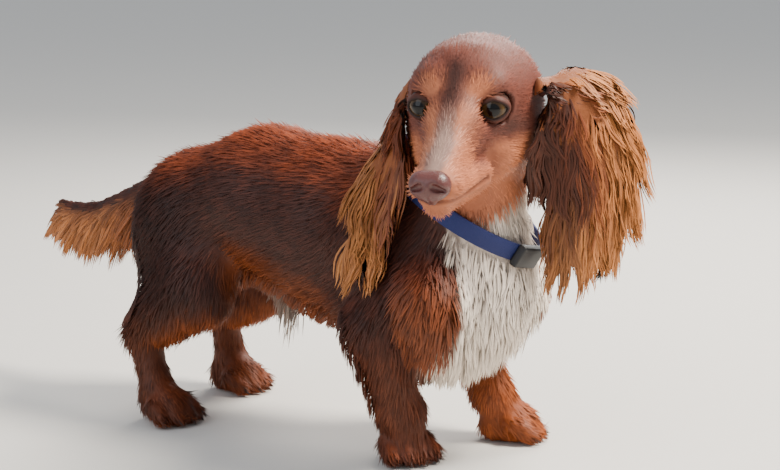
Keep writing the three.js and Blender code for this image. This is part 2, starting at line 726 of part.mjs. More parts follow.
// The line of the mouth: from the middle of the upper lip back to each corner
const MOUTH_STEPS = 7;
function mouthLine(s) {
  const rings = [];
  for (let i = 0; i <= MOUTH_STEPS; i++) {
    const t = i / MOUTH_STEPS;
    const turn = Math.min(t / 0.35, 1) * (Math.PI / 2);
    const back = Math.max((t - 0.35) / 0.65, 0);
    const inside = onHead(mix(MUZZLE_LENGTH - 24, 12, back), 0, mix(-38.5, -36, back));
    const { point, out } = skinPoint(inside, headAxis(Math.cos(turn), s * Math.sin(turn), 0));
    const half = mix(0.9, 0.5, t);
    const deep = point.clone().addScaledVector(out, -2);
    const proud = point.clone().addScaledVector(out, 4);
    rings.push([deep, proud.clone().addScaledVector(HEAD_UP, half), proud.clone().addScaledVector(HEAD_UP, -half)]);
  }
  return sweptSolid(rings);
}

function legRegion(place, side, grow) {
  const leg = LEGS[place][side];
  const box = new THREE.Box3().setFromPoints(leg.joints).expandByScalar(58);
  const low = vec(box.min.x, box.min.y, PAW_TOP - 24);
  const net = netSolid(bodyField, low, vec(box.max.x, box.max.y, 134), CELLS.leg, grow);
  const region = legBox(place, SIDES[side], grow - GAP / 2);
  return largest(net.intersect(region).intersect(sideOf(vec(0, 0, PAW_TOP), UP, grow - GAP / 2)));
}

function pawCore(place, side, toes) {
  const foot = LEGS[place][side].joints[4];
  const low = vec(foot.x - 36, foot.y - 42, -14);
  const net = netSolid(bodyField, low, vec(foot.x + 36, foot.y + 40, PAW_TOP + 12), CELLS.paw);
  const paw = joined([net, ...toes.map((toe) => toeSolid(toe))]);
  return largest(paw.subtract(floorCut()).intersect(sideOf(vec(0, 0, PAW_TOP), DOWN, -GAP / 2)));
}

// A toe: a rounded knuckle that runs forward out of the paw
const TOE_RADIUS = 6.9;
function toeSolid({ knuckle, tip }) {
  const way = tip.clone().sub(knuckle);
  const turn = new THREE.Quaternion().setFromUnitVectors(UP, way.clone().normalize());
  const long = (way.length() / 2 + TOE_RADIUS) / TOE_RADIUS;
  const matrix = new THREE.Matrix4().compose(knuckle.clone().addScaledVector(way, 0.5), turn, vec(1, 1, long));
  return solidOfGeometry(new THREE.SphereGeometry(TOE_RADIUS, 6, 4).rotateX(Math.PI / 2), matrix);
}

// Claws: short curved cones, one at the end of each toe
const CLAW_AROUND = 4;
function clawSolid({ tip, beyond }, grow = 0) {
  const way = beyond.clone().sub(tip).normalize();
  const side = way.clone().cross(UP).normalize();
  const top = side.clone().cross(way).normalize();
  const stations = [
    { along: 1.5 - grow, radius: 1.9, drop: 0 },
    { along: 6.5, radius: 1.7, drop: 0 },
    { along: 9.5 + grow, radius: 0.6, drop: 1.4 },
  ];
  const rings = stations.map(({ along, radius, drop }) =>
    Array.from({ length: CLAW_AROUND }, (_, j) => {
      const angle = (j / CLAW_AROUND) * Math.PI * 2;
      return tip
        .clone()
        .addScaledVector(way, along)
        .addScaledVector(UP, -drop)
        .addScaledVector(side, Math.cos(angle) * (radius * 0.75 + grow))
        .addScaledVector(top, Math.sin(angle) * (radius + grow));
    }),
  );
  return sweptSolid(rings);
}

// Collar: a band fitted to the neck, with a buckle on it
const COLLAR = { point: vec(0.8, -72.5, 157.5), normal: vec(0.18, -0.5, 0.85).normalize(), width: 11, thick: 2.6, clear: 0.6 };
const COLLAR_STEPS = 22;
function collarBand(grow = 0) {
  const { point: centre, normal, width, thick, clear } = COLLAR;
  const ahead = normal.clone().cross(LEFT).normalize();
  const aside = ahead.clone().cross(normal).normalize();
  const rings = [];
  for (let i = 0; i < COLLAR_STEPS; i++) {
    const angle = (i / COLLAR_STEPS) * Math.PI * 2;
    const way = ahead.clone().multiplyScalar(Math.cos(angle)).addScaledVector(aside, Math.sin(angle));
    const skin = skinPoint(centre, way).point;
    const at = (out, up) => skin.clone().addScaledVector(way, out).addScaledVector(normal, up * (width / 2 + grow));
    rings.push([at(clear - grow, -1), at(clear + thick + grow, -1), at(clear + thick + grow, 1), at(clear - grow, 1)]);
  }
  return sweptSolid(rings, true);
}

const BUCKLE = { away: vec(0.12, -1, 0), half: [8, 2.6, 7] };
function buckleSolid(grow = 0) {
  const way = BUCKLE.away.clone().addScaledVector(COLLAR.normal, -BUCKLE.away.dot(COLLAR.normal));
  const { point: centre, out } = skinPoint(COLLAR.point, way);
  const across = COLLAR.normal.clone().cross(out).normalize();
  const up = across.clone().cross(out).normalize();
  const matrix = new THREE.Matrix4().makeBasis(across, out, up).setPosition(centre.addScaledVector(out, BUCKLE.half[1] + 0.9));
  const size = BUCKLE.half.map((h) => (h + grow) * 2);
  return solidOfGeometry(new THREE.BoxGeometry(...size), matrix);
}

// Colours
const COLOUR = {
  coat: 0x4a2418,
  shin: 0x6a3119,
  face: 0x6b3a2e,
  ear: 0x7c3f1e,
  tail: 0x6d4222,
  nose: 0x8a5a52,
  eye: 0x3a2614,
  claw: 0x3b2a24,
  collar: 0x1c2f78,
  buckle: 0x14141a,
};
const ROUGHNESS = { coat: 0.7, nose: 0.45, eye: 0.08, claw: 0.4, collar: 0.75, buckle: 0.35 };

const nodes = [];
const add = (name, solid, colour, roughness = ROUGHNESS.coat) => nodes.push({ name, solid: largest(solid), colour, roughness });
const cutBy = (solid, cutters) => cutters.reduce((left, cutter) => left.subtract(cutter), solid);
const withLocks = (core, locks) => largest(joined([core, ...locks.map((lock) => lockSolid(lock))]));

const band = collarBand();
const bandRoom = collarBand(GAP);
const buckle = buckleSolid();
const buckleRoom = buckleSolid(GAP);

// What the hanging coat is kept clear of
const bodyRoom = {
  torso: torsoCore(COAT_CLEAR),
  neck: neckCore(COAT_CLEAR),
  head: headCore(COAT_CLEAR),
};

const neckSolid = cutBy(neckCore(0), [bandRoom, buckleRoom]);
const torsoLocks = [...chestLocks(), ...bellyLocks(), ...bellyTuft()];
const limbs = Object.keys(LEGS).flatMap((place) => Object.keys(SIDES).map((side) => ({ place, side })));
const limbRoom = limbs.map(({ place, side }) => legRegion(place, side, COAT_CLEAR));
const torsoWithLocks = cutBy(withLocks(torsoCore(0), torsoLocks), [bandRoom, buckleRoom, bodyRoom.neck, ...limbRoom]);
add("torso", torsoWithLocks, COLOUR.coat);
add("neck", neckSolid, COLOUR.coat);

let face = headCore(0);
for (const s of Object.values(SIDES)) {
  const lid = roundSolid(eyeCentre(s), EYE_RADIUS + LID_RAISE, 2).subtract(almondSolid(s));
  face = face.add(lid).subtract(mouthLine(s));
}
for (const s of Object.values(SIDES)) face = face.subtract(roundSolid(eyeCentre(s), EYE_RADIUS + GAP, 2));
face = cutBy(face, [noseCore(GAP), bandRoom, buckleRoom]);
add("head", face, COLOUR.face);
add("nose", cutBy(noseCore(0), nostrils()), COLOUR.nose, ROUGHNESS.nose);
for (const [side, s] of Object.entries(SIDES)) {
  add(`eye_${side}`, roundSolid(eyeCentre(s), EYE_RADIUS, 2), COLOUR.eye, ROUGHNESS.eye);
}

for (const [side, ear] of Object.entries(EARS)) {
  const flap = withLocks(earLeather(ear), earLocks(ear));
  add(`ear_${side}`, cutBy(flap, [bodyRoom.head, bodyRoom.neck, bodyRoom.torso, bandRoom, buckleRoom]), COLOUR.ear);
}

for (const { place, side } of limbs) {
  const leg = LEGS[place][side];
  const feathers = place === "fore" ? foreFeathers(leg, SIDES[side]) : hindFeathers(leg, SIDES[side]);
  const region = withLocks(legRegion(place, side, 0), feathers);
  const { toes } = pawMuscles(leg.joints[4], leg.turn);
  add(`${place}leg_${side}`, cutBy(region, [bodyRoom.torso, sideOf(vec(0, 0, PAW_TOP + GAP / 2), DOWN)]), COLOUR.shin);
  add(`${place}paw_${side}`, cutBy(pawCore(place, side, toes), toes.map((toe) => clawSolid(toe, GAP))), COLOUR.shin);
  toes.forEach((toe, i) => add(`claw_${place}_${side}_${i + 1}`, clawSolid(toe), COLOUR.claw, ROUGHNESS.claw));
}
add("tail", cutBy(withLocks(tailDock(), tailLocks()), [bodyRoom.torso]), COLOUR.tail);
add("collar", band.subtract(buckleRoom), COLOUR.collar, ROUGHNESS.collar);
add("collar_buckle", buckle, COLOUR.buckle, ROUGHNESS.buckle);

function geometryOf(solid) {
  const { vertProperties, triVerts, numProp } = solid.getMesh();
  const geometry = new THREE.BufferGeometry();
  const position = new Float32Array((vertProperties.length / numProp) * 3);
  for (let i = 0; i * 3 < position.length; i++) {
    position.set(vertProperties.subarray(i * numProp, i * numProp + 3), i * 3);
  }
  geometry.setAttribute("position", new THREE.BufferAttribute(position, 3));
  geometry.setIndex(new THREE.BufferAttribute(triVerts, 1));
  geometry.computeVertexNormals();
  return geometry;
}

const dachshund = new THREE.Group();
dachshund.name = "dachshund";
for (const { name, solid, colour, roughness } of nodes) {
  const material = new THREE.MeshStandardMaterial({ color: colour, roughness, metalness: 0 });
  const mesh = new THREE.Mesh(geometryOf(solid), material);
  mesh.name = name;
  dachshund.add(mesh);
}

// The origin is on the floor, in the middle of the whole model
const whole = new THREE.Box3().setFromObject(dachshund);
const middle = whole.getCenter(vec(0, 0, 0)).setZ(whole.min.z);
for (const mesh of dachshund.children) mesh.geometry.translate(-middle.x, -middle.y, -middle.z);

export default dachshund;
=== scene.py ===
"""A long-haired miniature dachshund, standing with its head turned to its right, in a blue collar.

Sizes are millimetres in the dog's own frame: it faces -Y, its left side is +X and it stands on z = 0.
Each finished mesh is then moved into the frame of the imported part, in metres.
"""

import logging
import math
from collections.abc import Callable
from dataclasses import asdict, dataclass, field
from enum import Enum

import bpy
import numpy as np
import openvdb
from mathutils import Matrix, Vector


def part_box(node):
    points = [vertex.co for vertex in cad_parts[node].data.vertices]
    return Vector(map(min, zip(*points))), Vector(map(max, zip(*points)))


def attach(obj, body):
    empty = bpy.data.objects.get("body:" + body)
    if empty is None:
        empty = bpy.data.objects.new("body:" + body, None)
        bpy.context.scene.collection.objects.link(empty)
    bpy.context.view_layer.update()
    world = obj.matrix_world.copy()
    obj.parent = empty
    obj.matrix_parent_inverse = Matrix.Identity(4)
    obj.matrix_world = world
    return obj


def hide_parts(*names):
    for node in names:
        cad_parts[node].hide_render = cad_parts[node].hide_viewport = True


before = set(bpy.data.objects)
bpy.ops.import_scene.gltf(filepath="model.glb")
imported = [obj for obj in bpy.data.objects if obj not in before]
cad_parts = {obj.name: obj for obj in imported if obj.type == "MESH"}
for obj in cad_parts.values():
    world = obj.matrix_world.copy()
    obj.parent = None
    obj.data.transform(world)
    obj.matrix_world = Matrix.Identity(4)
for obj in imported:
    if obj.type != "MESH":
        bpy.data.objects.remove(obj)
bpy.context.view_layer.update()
logging.basicConfig(level=logging.INFO, format="%(message)s")
log = logging.getLogger("dachshund")
rng = np.random.default_rng(7)

Array = np.ndarray
Inset = Callable[[Array], Array]
Marks = dict[str, Array | float]
UP = np.array([0.0, 0.0, 1.0])
DOWN = -UP
LEFT = np.array([1.0, 0.0, 0.0])
BACK = np.array([0.0, 1.0, 0.0])
MM = 0.001


class Side(Enum):
    """The dog's two sides, and the sign of X on each."""

    LEFT = 1
    RIGHT = -1


def vec(x: float, y: float, z: float) -> Array:
    """A point or direction as an array."""
    return np.array([x, y, z], float)


def unit(v: Array) -> Array:
    """The same directions at length one."""
    return v / np.maximum(np.linalg.norm(v, axis=-1, keepdims=True), 1e-9)


def smooth(low: float, high: float, x: Array) -> Array:
    """A soft step from 0 at low to 1 at high."""
    t = np.clip((x - low) / (high - low), 0, 1)
    return t * t * (3 - 2 * t)


def bump(x: Array, middle: float, width: float) -> Array:
    """A soft rise round a middle value."""
    return np.exp(-(((x - middle) / width) ** 2))


# The head's frame: forward, left and up, from the point midway between the eyes
HEAD_CENTRE = vec(-52.5, -114.8, 213.6)
HEAD_YAW, HEAD_PITCH = math.radians(-68.6), math.radians(7.2)
HEAD_TURN = np.array(Matrix.Rotation(HEAD_YAW, 3, "Z") @ Matrix.Rotation(HEAD_PITCH, 3, "X"))


def on_head(forward: float, left: float, up: float) -> Array:
    """A point given forward, left and up of the eye line."""
    return HEAD_TURN @ vec(left, -forward, up) + HEAD_CENTRE


def head_axis(forward: float, left: float, up: float) -> Array:
    """A direction in the head's frame, as a unit vector."""
    return unit(HEAD_TURN @ vec(left, -forward, up))


def to_head(points: Array) -> tuple[Array, Array, Array]:
    """How far forward, left and up of the eye line each point lies."""
    local = (points - HEAD_CENTRE) @ HEAD_TURN
    return -local[:, 1], local[:, 0], local[:, 2]


HEAD_LEFT, HEAD_UP = head_axis(0, 1, 0), head_axis(0, 0, 1)
EYE_RADIUS = 9.2
EYE_SPREAD = 19.5
EYE_DEPTH = -6.4
MUZZLE = 67.0
NOSE_FORWARD = MUZZLE - 8.5


@dataclass
class Muscle:
    """A cone with round ends, squeezed across one direction and blended into the body.

    The hair over it lies along `lie`, from start to end where none is given.
    """

    start: Array
    start_radius: float
    end: Array
    end_radius: float
    squeeze: float = 1.0
    across: Array = field(default_factory=lambda: LEFT)
    blend: float = 14.0
    lie: Array | None = None

    def squeezed(self, v: Array) -> Array:
        """The vectors, stretched across by the inverse of the squeeze."""
        return v + (v @ self.across)[..., None] * self.across * (1 / self.squeeze - 1)

    def distance(self, points: Array) -> Array:
        """The distance from each point to the surface.

        Args:
            points: N points in millimetres.

        Returns:
            N distances, negative inside.
        """
        axis = self.squeezed(self.end - self.start)
        length2 = max(float(axis @ axis), 1e-6)
        slope = self.start_radius - self.end_radius
        cone2 = max(length2 - slope * slope, 1e-6)
        p = self.squeezed(points - self.start)
        along = p @ axis
        past = along - length2
        side2 = np.maximum((p * p).sum(1) * length2**2 - along**2 * length2, 0)
        rim = np.sign(slope) * slope**2 * side2
        far = np.sqrt(side2 + past**2 * length2) / length2 - self.end_radius
        near = np.sqrt(side2 + along**2 * length2) / length2 - self.start_radius
        wall = (np.sqrt(side2 * cone2 / length2) + along * slope) / length2 - self.start_radius
        at_end = np.sign(past) * cone2 * past**2 * length2 > rim
        at_start = np.sign(along) * cone2 * along**2 * length2 < rim
        return np.where(at_end, far, np.where(at_start, near, wall)) * min(self.squeeze, 1)

    def flow(self) -> Array:
        """The way its hair lies."""
        return unit(self.end - self.start) if self.lie is None else unit(self.lie)


def ball(centre: Array, radius: float, blend: float, lie: Array | None = None) -> Muscle:
    """A round muscle."""
    return Muscle(centre, radius, centre + UP * 0.1, radius, blend=blend, lie=lie)


@dataclass
class Body:
    """Muscles blended into one surface, with hollows pressed into it.

    The surface's direction is felt over `probe`, and within `mingle` of two muscles the hair's lie is
    taken from both.
    """

    muscles: list[Muscle]
    hollows: list[Muscle] = field(default_factory=list)
    probe: float = 0.6
    mingle: float = 7.0

    def depth(self, points: Array) -> Array:
        """How far each point lies outside the blended surface.

        Args:
            points: N points in millimetres.

        Returns:
            N distances, negative inside.
        """
        d = np.full(len(points), 1e3)
        for m in self.muscles:
            nxt = m.distance(points)
            near = np.maximum(m.blend - np.abs(d - nxt), 0) / m.blend
            d = np.minimum(d, nxt) - near**2 * m.blend / 4
        for h in self.hollows:
            cut = -h.distance(points)
            near = np.maximum(h.blend - np.abs(d - cut), 0) / h.blend
            d = np.maximum(d, cut) + near**2 * h.blend / 4
        return d

    def outward(self, points: Array) -> Array:
        """The unit direction out of the body at each point."""
        steps = self.probe * np.eye(3)
        return unit(np.stack([self.depth(points + a) - self.depth(points - a) for a in steps], 1))

    def lie(self, points: Array, normals: Array) -> Array:
        """The way the hair lies, in the plane of the skin.

        Args:
            points: N points in millimetres.
            normals: The direction out of the skin at each.

        Returns:
            N unit directions.
        """
        gaps = np.stack([m.distance(points) for m in self.muscles], 1)
        weight = np.exp(-(gaps - gaps.min(1, keepdims=True)) / self.mingle)
        flow = weight @ np.stack([m.flow() for m in self.muscles])
        flow -= normals * (flow * normals).sum(1, keepdims=True)
        return unit(flow)

    def clear(self, points: Array, room: Array | float) -> Array:
        """Keeps points out of the body.

        Args:
            points: N points in millimetres.
            room: How far from the surface they have to be.

        Returns:
            The points, with those too near moved outwards.
        """
        d = self.depth(points)
        inside = d < room
        if not inside.any():
            return points
        moved = points.copy()
        gap = (np.broadcast_to(room, d.shape)[inside] - d[inside])[:, None]
        moved[inside] += self.outward(points[inside]) * gap
        return moved


# Trunk and legs
LOIN, CROUP = vec(0, 64, 139), vec(0, 120, 130)
WITHERS, RIBS_END = vec(0, -50, 117), vec(0, 7, 129)
TAIL_ROOT = vec(0, 158, 139)
NECK_ROOT, NECK_TOP = vec(0, -60, 138), vec(2, -92, 188)
REARWARD = vec(0, 1, -0.35)
TRUNK = [
    Muscle(WITHERS, 59, RIBS_END, 50, 0.86, blend=20, lie=REARWARD),
    Muscle(RIBS_END, 50, LOIN, 44, 0.92, blend=20, lie=REARWARD),
    Muscle(LOIN, 44, CROUP, 40, 0.98, blend=20, lie=REARWARD),
    Muscle(vec(-2, -92, 102), 32, vec(0, -60, 86), 34, blend=24, lie=vec(0, 0.3, -1)),
    Muscle(CROUP, 28, TAIL_ROOT, 12, blend=16, lie=vec(0, 1, -0.6)),
    Muscle(vec(0, 96, 104), 10, vec(0, 52, 92), 7, blend=8, lie=vec(0, 0.4, -1)),
]
NECK = [
    Muscle(NECK_ROOT, 42, NECK_TOP, 33, 0.94, blend=26, lie=vec(0, 0.45, -1)),
    Muscle(vec(-2, -88, 128), 30, on_head(-34, 0, -46), 22, blend=22, lie=vec(0, 0, -1)),
]
TOES = 4
TOE_SPACING = 8.4
TOE_REACH = 15.0
CLAW_REACH = 9.0


@dataclass
class Leg:
    """One leg: its joints from the shoulder or hip down to the foot, and how the foot is turned."""

    name: str
    side: Side
    fore: bool
    joints: list[Array]
    radii: list[float]
    turn: float

    def spin(self) -> Array:
        """The foot's turn about the upright."""
        return np.array(Matrix.Rotation(math.radians(self.turn), 3, "Z"))

    def on_foot(self, across: float, ahead: float, up: float) -> Array:
        """A point given across, ahead and up of the ground under the foot's middle."""
        foot = self.joints[4]
        return self.spin() @ vec(across, -ahead, up) + vec(foot[0], foot[1], 0)

    def toes(self) -> list[tuple[Array, Array, Array]]:
        """The toes, from one side of the foot to the other.

        Returns:
            A knuckle, a tip and a point beyond the claw, for each toe.
        """
        made = []
        for i in range(TOES):
            off = i - (TOES - 1) / 2
            across = off * TOE_SPACING
            reach = TOE_REACH - abs(off) * 4
            knuckle = self.on_foot(across * 0.9, reach - CLAW_REACH, 12)
            tip = self.on_foot(across * 1.06, reach, 7)
            made.append((knuckle, tip, self.on_foot(across * 1.14, reach + CLAW_REACH, 3.4)))
        return made

    def muscles(self) -> list[Muscle]:
        """The muscles of the whole leg and paw.

        Returns:
            Muscles from the shoulder or hip down to the toes.
        """
        top, bend, low, ankle, foot = self.joints
        at_top, at_bend, at_low, at_ankle, at_foot = self.radii
        down = vec(0, 0.25, -1)
        if self.fore:
            upper = [
                Muscle(top, at_top, bend, at_bend, 0.8, lie=down),
                Muscle(bend, at_bend, low, at_low, 0.9, blend=12, lie=down),
                Muscle(low, at_low - 2, ankle, at_ankle, blend=12, lie=down),
            ]
        else:
            mid = low + (bend - low) * 0.35
            half = low + (bend - low) * 0.5
            upper = [
                Muscle(top, at_top, bend, at_bend, 0.72, blend=16, lie=down),
                Muscle(bend, at_bend, mid, 15, 0.8, blend=16, lie=down),
                Muscle(top + vec(0, 14, -8), 22, half, 13, 0.8, blend=18, lie=down),
                Muscle(half, 16, low, at_low, blend=12, lie=down),
                Muscle(low, at_low, ankle, at_ankle, blend=8, lie=vec(0, -0.1, -1)),
            ]
        ahead = self.spin() @ vec(0, -1, -0.5)
        paw = [Muscle(self.on_foot(0, -11, 9), 11, self.on_foot(0, 3, 10), 13, blend=8, lie=ahead)]
        paw += [Muscle(knuckle, 7.2, tip, 6.6, blend=3.5, lie=ahead) for knuckle, tip, _ in self.toes()]
        return upper + [Muscle(ankle, at_ankle, foot, at_foot, blend=8, lie=down)] + paw


LEGS = [
    Leg(
        "foreleg_left", Side.LEFT, True,
        [vec(34, -44, 134), vec(44, -80, 98), vec(47, -48, 84), vec(43, -72, 30), vec(49, -84, 12)],
        [26, 25, 20, 13, 12], 34,
    ),
    Leg(
        "foreleg_right", Side.RIGHT, True,
        [vec(-34, -44, 134), vec(-42, -82, 98), vec(-44, -52, 84), vec(-32, -60, 30), vec(-30, -62, 12)],
        [26, 25, 20, 14.5, 12], -28,
    ),
    Leg(
        "hindleg_left", Side.LEFT, False,
        [vec(22, 116, 124), vec(38, 92, 88), vec(42, 146, 52), vec(42, 140, 18), vec(41, 132, 11)],
        [36, 24, 11.5, 11, 11], 8,
    ),
    Leg(
        "hindleg_right", Side.RIGHT, False,
        [vec(-22, 116, 124), vec(-40, 94, 88), vec(-44, 137, 54), vec(-48, 121, 18), vec(-49, 111, 11)],
        [36, 24, 12, 11, 11], -10,
    ),
]


def head_muscles() -> list[Muscle]:
    """The skull, brows, cheeks, muzzle, lips and jaw.

    Returns:
        The muscles of the head, in the dog's frame.
    """
    rear = head_axis(-1, 0, 0.12)
    side = HEAD_LEFT
    lip_start, jaw_end = MUZZLE - 18, MUZZLE - 22
    made = [
        Muscle(on_head(-46, 0, -3), 35.5, on_head(-30, 0, -1), 33, 1.08, side, 16, rear),
        Muscle(on_head(-20, 0, -1), 24, on_head(2, 0, -8), 18, blend=12, lie=rear),
        Muscle(on_head(0, 0, -12), 17.5, on_head(lip_start, 0, -29), 10.5, 0.94, side, 12, rear),
        Muscle(on_head(-34, 0, -40), 17, on_head(jaw_end, 0, -41), 8, 1.05, side, 6, rear),
    ]
    for s in (1, -1):
        cheek = head_axis(-1, 0.1 * s, -0.4)
        lip, lip_end = on_head(lip_start, s * 6.5, -32), on_head(8, s * 12, -35)
        made += [
            Muscle(on_head(-36, s * 20, -20), 18, on_head(-16, s * 16, -28), 13, blend=12, lie=cheek),
            Muscle(lip, 8.5, lip_end, 9.5, blend=6, lie=cheek),
            ball(on_head(-9, s * 16, 9), 11, 8, rear),
        ]
    return made


def eye_centre(side: Side) -> Array:
    """The middle of one eyeball."""
    return on_head(EYE_DEPTH, side.value * EYE_SPREAD, 0)


EYE_HOLLOWS = [ball(on_head(4, s * 20.5, -1), 5.5, 6) for s in (1, -1)]
COAT = Body(TRUNK + NECK + [m for leg in LEGS for m in leg.muscles()] + head_muscles(), EYE_HOLLOWS)
NOSE = Body(
    [
        Muscle(on_head(NOSE_FORWARD, -4, -28), 7.6, on_head(NOSE_FORWARD, 4, -28), 7.6, blend=4),
        Muscle(on_head(NOSE_FORWARD, 0, -31), 6, on_head(NOSE_FORWARD - 3, 0, -37), 3.2, blend=4),
    ],
    [
        Muscle(
            on_head(NOSE_FORWARD + 7.6, s * 4.2, -27.6), 2.3,
            on_head(NOSE_FORWARD + 4, s * 8.6, -29.8), 1.2, blend=1.2,
        )
        for s in (1, -1)
    ],
)


# The short coat's thickness on the body, how much thinner it is on the face and the feet, and the
# size of the head's bounds for hair
BODY_DEPTH, FACE_THINNER, FOOT_THINNER = 2.6, 1.7, 1.0
FACE_EDGE = 0.92


def head_mask(points: Array, edge: float = 1.0) -> Array:
    """How far each point belongs to the head.

    Args:
        points: N points in millimetres.
        edge: The size of the head's bounds, 1 for the whole head.

    Returns:
        N values from 0 to 1.
    """
    forward, left, up = to_head(points)
    reach = np.sqrt(((forward + 8) / 86) ** 2 + (left / 52) ** 2 + ((up + 12) / 56) ** 2)
    return smooth(edge + 0.06, edge - 0.06, reach)


def coat_depth(points: Array) -> Array:
    """How thick the short coat is over each point.

    Args:
        points: N points in millimetres.

    Returns:
        N depths.
    """
    face = head_mask(points, FACE_EDGE)
    foot = 1 - smooth(18, 60, points[:, 2])
    return BODY_DEPTH - FACE_THINNER * np.maximum(face, 0) - FOOT_THINNER * foot * (1 - face)


# Moving dog millimetres into the frame of the part
def frame_offset() -> Array:
    """Where the dog's own origin lies in the part's frame, found from the left eye."""
    low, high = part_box("eye_left")
    return (np.array(low) + np.array(high)) / 2 - eye_centre(Side.LEFT) * MM


OFFSET = frame_offset()


def placed(points: Array) -> Array:
    """Dog millimetres as metres in the part's frame."""
    return points * MM + OFFSET


# The grid's value far from a body, and how often its surface is pulled onto the true one
OUTSIDE = 10.0
PULLS = 2


def field_mesh(body: Body, low: Array, high: Array, cell: float, inset: Inset) -> tuple[Array, Array]:
    """The surface of a body inside a box.

    Args:
        body: The muscles to follow.
        low: The box's lowest corner.
        high: The box's highest corner.
        cell: The grid's step.
        inset: A function that gives how far under the surface to stay.

    Returns:
        Points, and quads of point numbers.
    """
    counts = np.ceil((high - low) / cell).astype(int) + 1
    axes = [low[i] + cell * np.arange(counts[i]) for i in range(3)]
    grid = np.stack(np.meshgrid(*axes, indexing="ij"), -1).reshape(-1, 3)
    values = body.depth(grid) + inset(grid)
    volume = openvdb.FloatGrid(background=OUTSIDE)
    volume.copyFromArray(values.reshape(counts).astype(np.float32))
    points, quads = volume.convertToQuads(isovalue=0.0)
    points = np.asarray(points, float) * cell + low
    for _ in range(PULLS):
        d = body.depth(points) + inset(points)
        points = points - body.outward(points) * np.clip(d, -cell, cell)[:, None]
    return points, np.asarray(quads)[:, ::-1]


def new_mesh(name: str, points: Array, faces: Array, material: bpy.types.Material) -> bpy.types.Object:
    """A mesh object made from points and faces of one size.

    Args:
        name: The piece's name.
        points: Points in dog millimetres.
        faces: Faces, all with the same number of corners.
        material: Its finish.

    Returns:
        The new object.
    """
    mesh = bpy.data.meshes.new(name)
    count, corners = faces.shape
    mesh.vertices.add(len(points))
    mesh.vertices.foreach_set("co", placed(points).astype(np.float32).ravel())
    mesh.loops.add(count * corners)
    mesh.loops.foreach_set("vertex_index", faces.astype(np.int32).ravel())
    mesh.polygons.add(count)
    mesh.polygons.foreach_set("loop_start", np.arange(0, count * corners, corners, dtype=np.int32))
    mesh.update(calc_edges=True)
    mesh.validate()
    mesh.polygons.foreach_set("use_smooth", np.ones(len(mesh.polygons), bool))
    mesh.materials.append(material)
    made = bpy.data.objects.new(name, mesh)
    bpy.context.collection.objects.link(made)
    return made


def ring_quads(rings: int, around: int, closed: bool = False) -> Array:
    """The quads between rings of points.

    Args:
        rings: How many rings there are.
        around: How many points each ring has.
        closed: Whether the last ring joins the first.

    Returns:
        Quads of point numbers.
    """
    i, j = np.mgrid[: rings if closed else rings - 1, :around]
    here, beyond = i * around, (i + 1) % rings * around
    after = (j + 1) % around
    return np.stack([here + j, here + after, beyond + after, beyond + j], -1).reshape(-1, 4)


def tube(points: Array, rings: int, around: int) -> tuple[Array, Array]:
    """Closes rings of points into a tube with both ends capped.

    Args:
        points: The rings, one after another.
        rings: How many rings there are.
        around: How many points each ring has.

    Returns:
        The points with the middles of both ends added, and the triangles.
    """
    quads = ring_quads(rings, around)
    first = np.arange(around)
    after = (first + 1) % around
    total = len(points)
    last = total - around
    caps = [
        np.stack([after, first, np.full(around, total)], 1),
        np.stack([last + first, last + after, np.full(around, total + 1)], 1),
    ]
    closed = np.vstack([points, points[:around].mean(0), points[-around:].mean(0)])
    return closed, np.vstack([quads[:, [0, 1, 2]], quads[:, [0, 2, 3]], *caps])


def paint(piece: bpy.types.Object, marks: Marks) -> None:
    """Stores each mark as a number on every point of a piece.

    Args:
        piece: The piece to mark.
        marks: Values for each mark, or one value for all the points.
    """
    count = len(piece.data.vertices)
    for name, values in marks.items():
        layer = piece.data.attributes.new(name, "FLOAT", "POINT")
        layer.data.foreach_set("value", np.full(count, values, np.float32))


# A walk out of the body: its most steps, the share of the way left that one takes, the least step
# and how near the surface it ends
WALK_STEPS, WALK_SHARE, LEAST_STEP, NEAR_ENOUGH = 80, 0.7, 0.2, 0.05


def leave(start: Array, way: Array, inset: float = 0.0) -> Array:
    """Walks from inside the body out to its surface.

    Args:
        start: Where the walk starts.
        way: Its unit direction.
        inset: How far under the surface it stops.

    Returns:
        The point that it reaches.
    """
    p = start.copy()
    for _ in range(WALK_STEPS):
        d = COAT.depth(p[None])[0] + inset
        if d > -NEAR_ENOUGH:
            break
        p = p + way * max(-d * WALK_SHARE, LEAST_STEP)
    return p


def wander(points: Array, size: float, seed: int) -> Array:
    """A soft random value from -1 to 1 at each point.

    Args:
        points: N points in millimetres.
        size: Over how many millimetres it changes.
        seed: Which of the random patterns.

    Returns:
        N values.
    """
    draw = np.random.default_rng(seed)
    total = np.zeros(len(points))
    for _ in range(6):
        way = unit(draw.normal(size=3)) * 2 * math.pi / size * draw.uniform(0.6, 1.6)
        total += np.sin(points @ way + draw.uniform(0, 6.28))
    return total / 3.2


def belly_tuft(points: Array) -> Array:
    """How far each point belongs to the pale tuft under the belly."""
    x, y, z = points.T
    return np.exp(-(((y - 48) / 11) ** 2 + (x / 10) ** 2)) * smooth(118, 104, z)


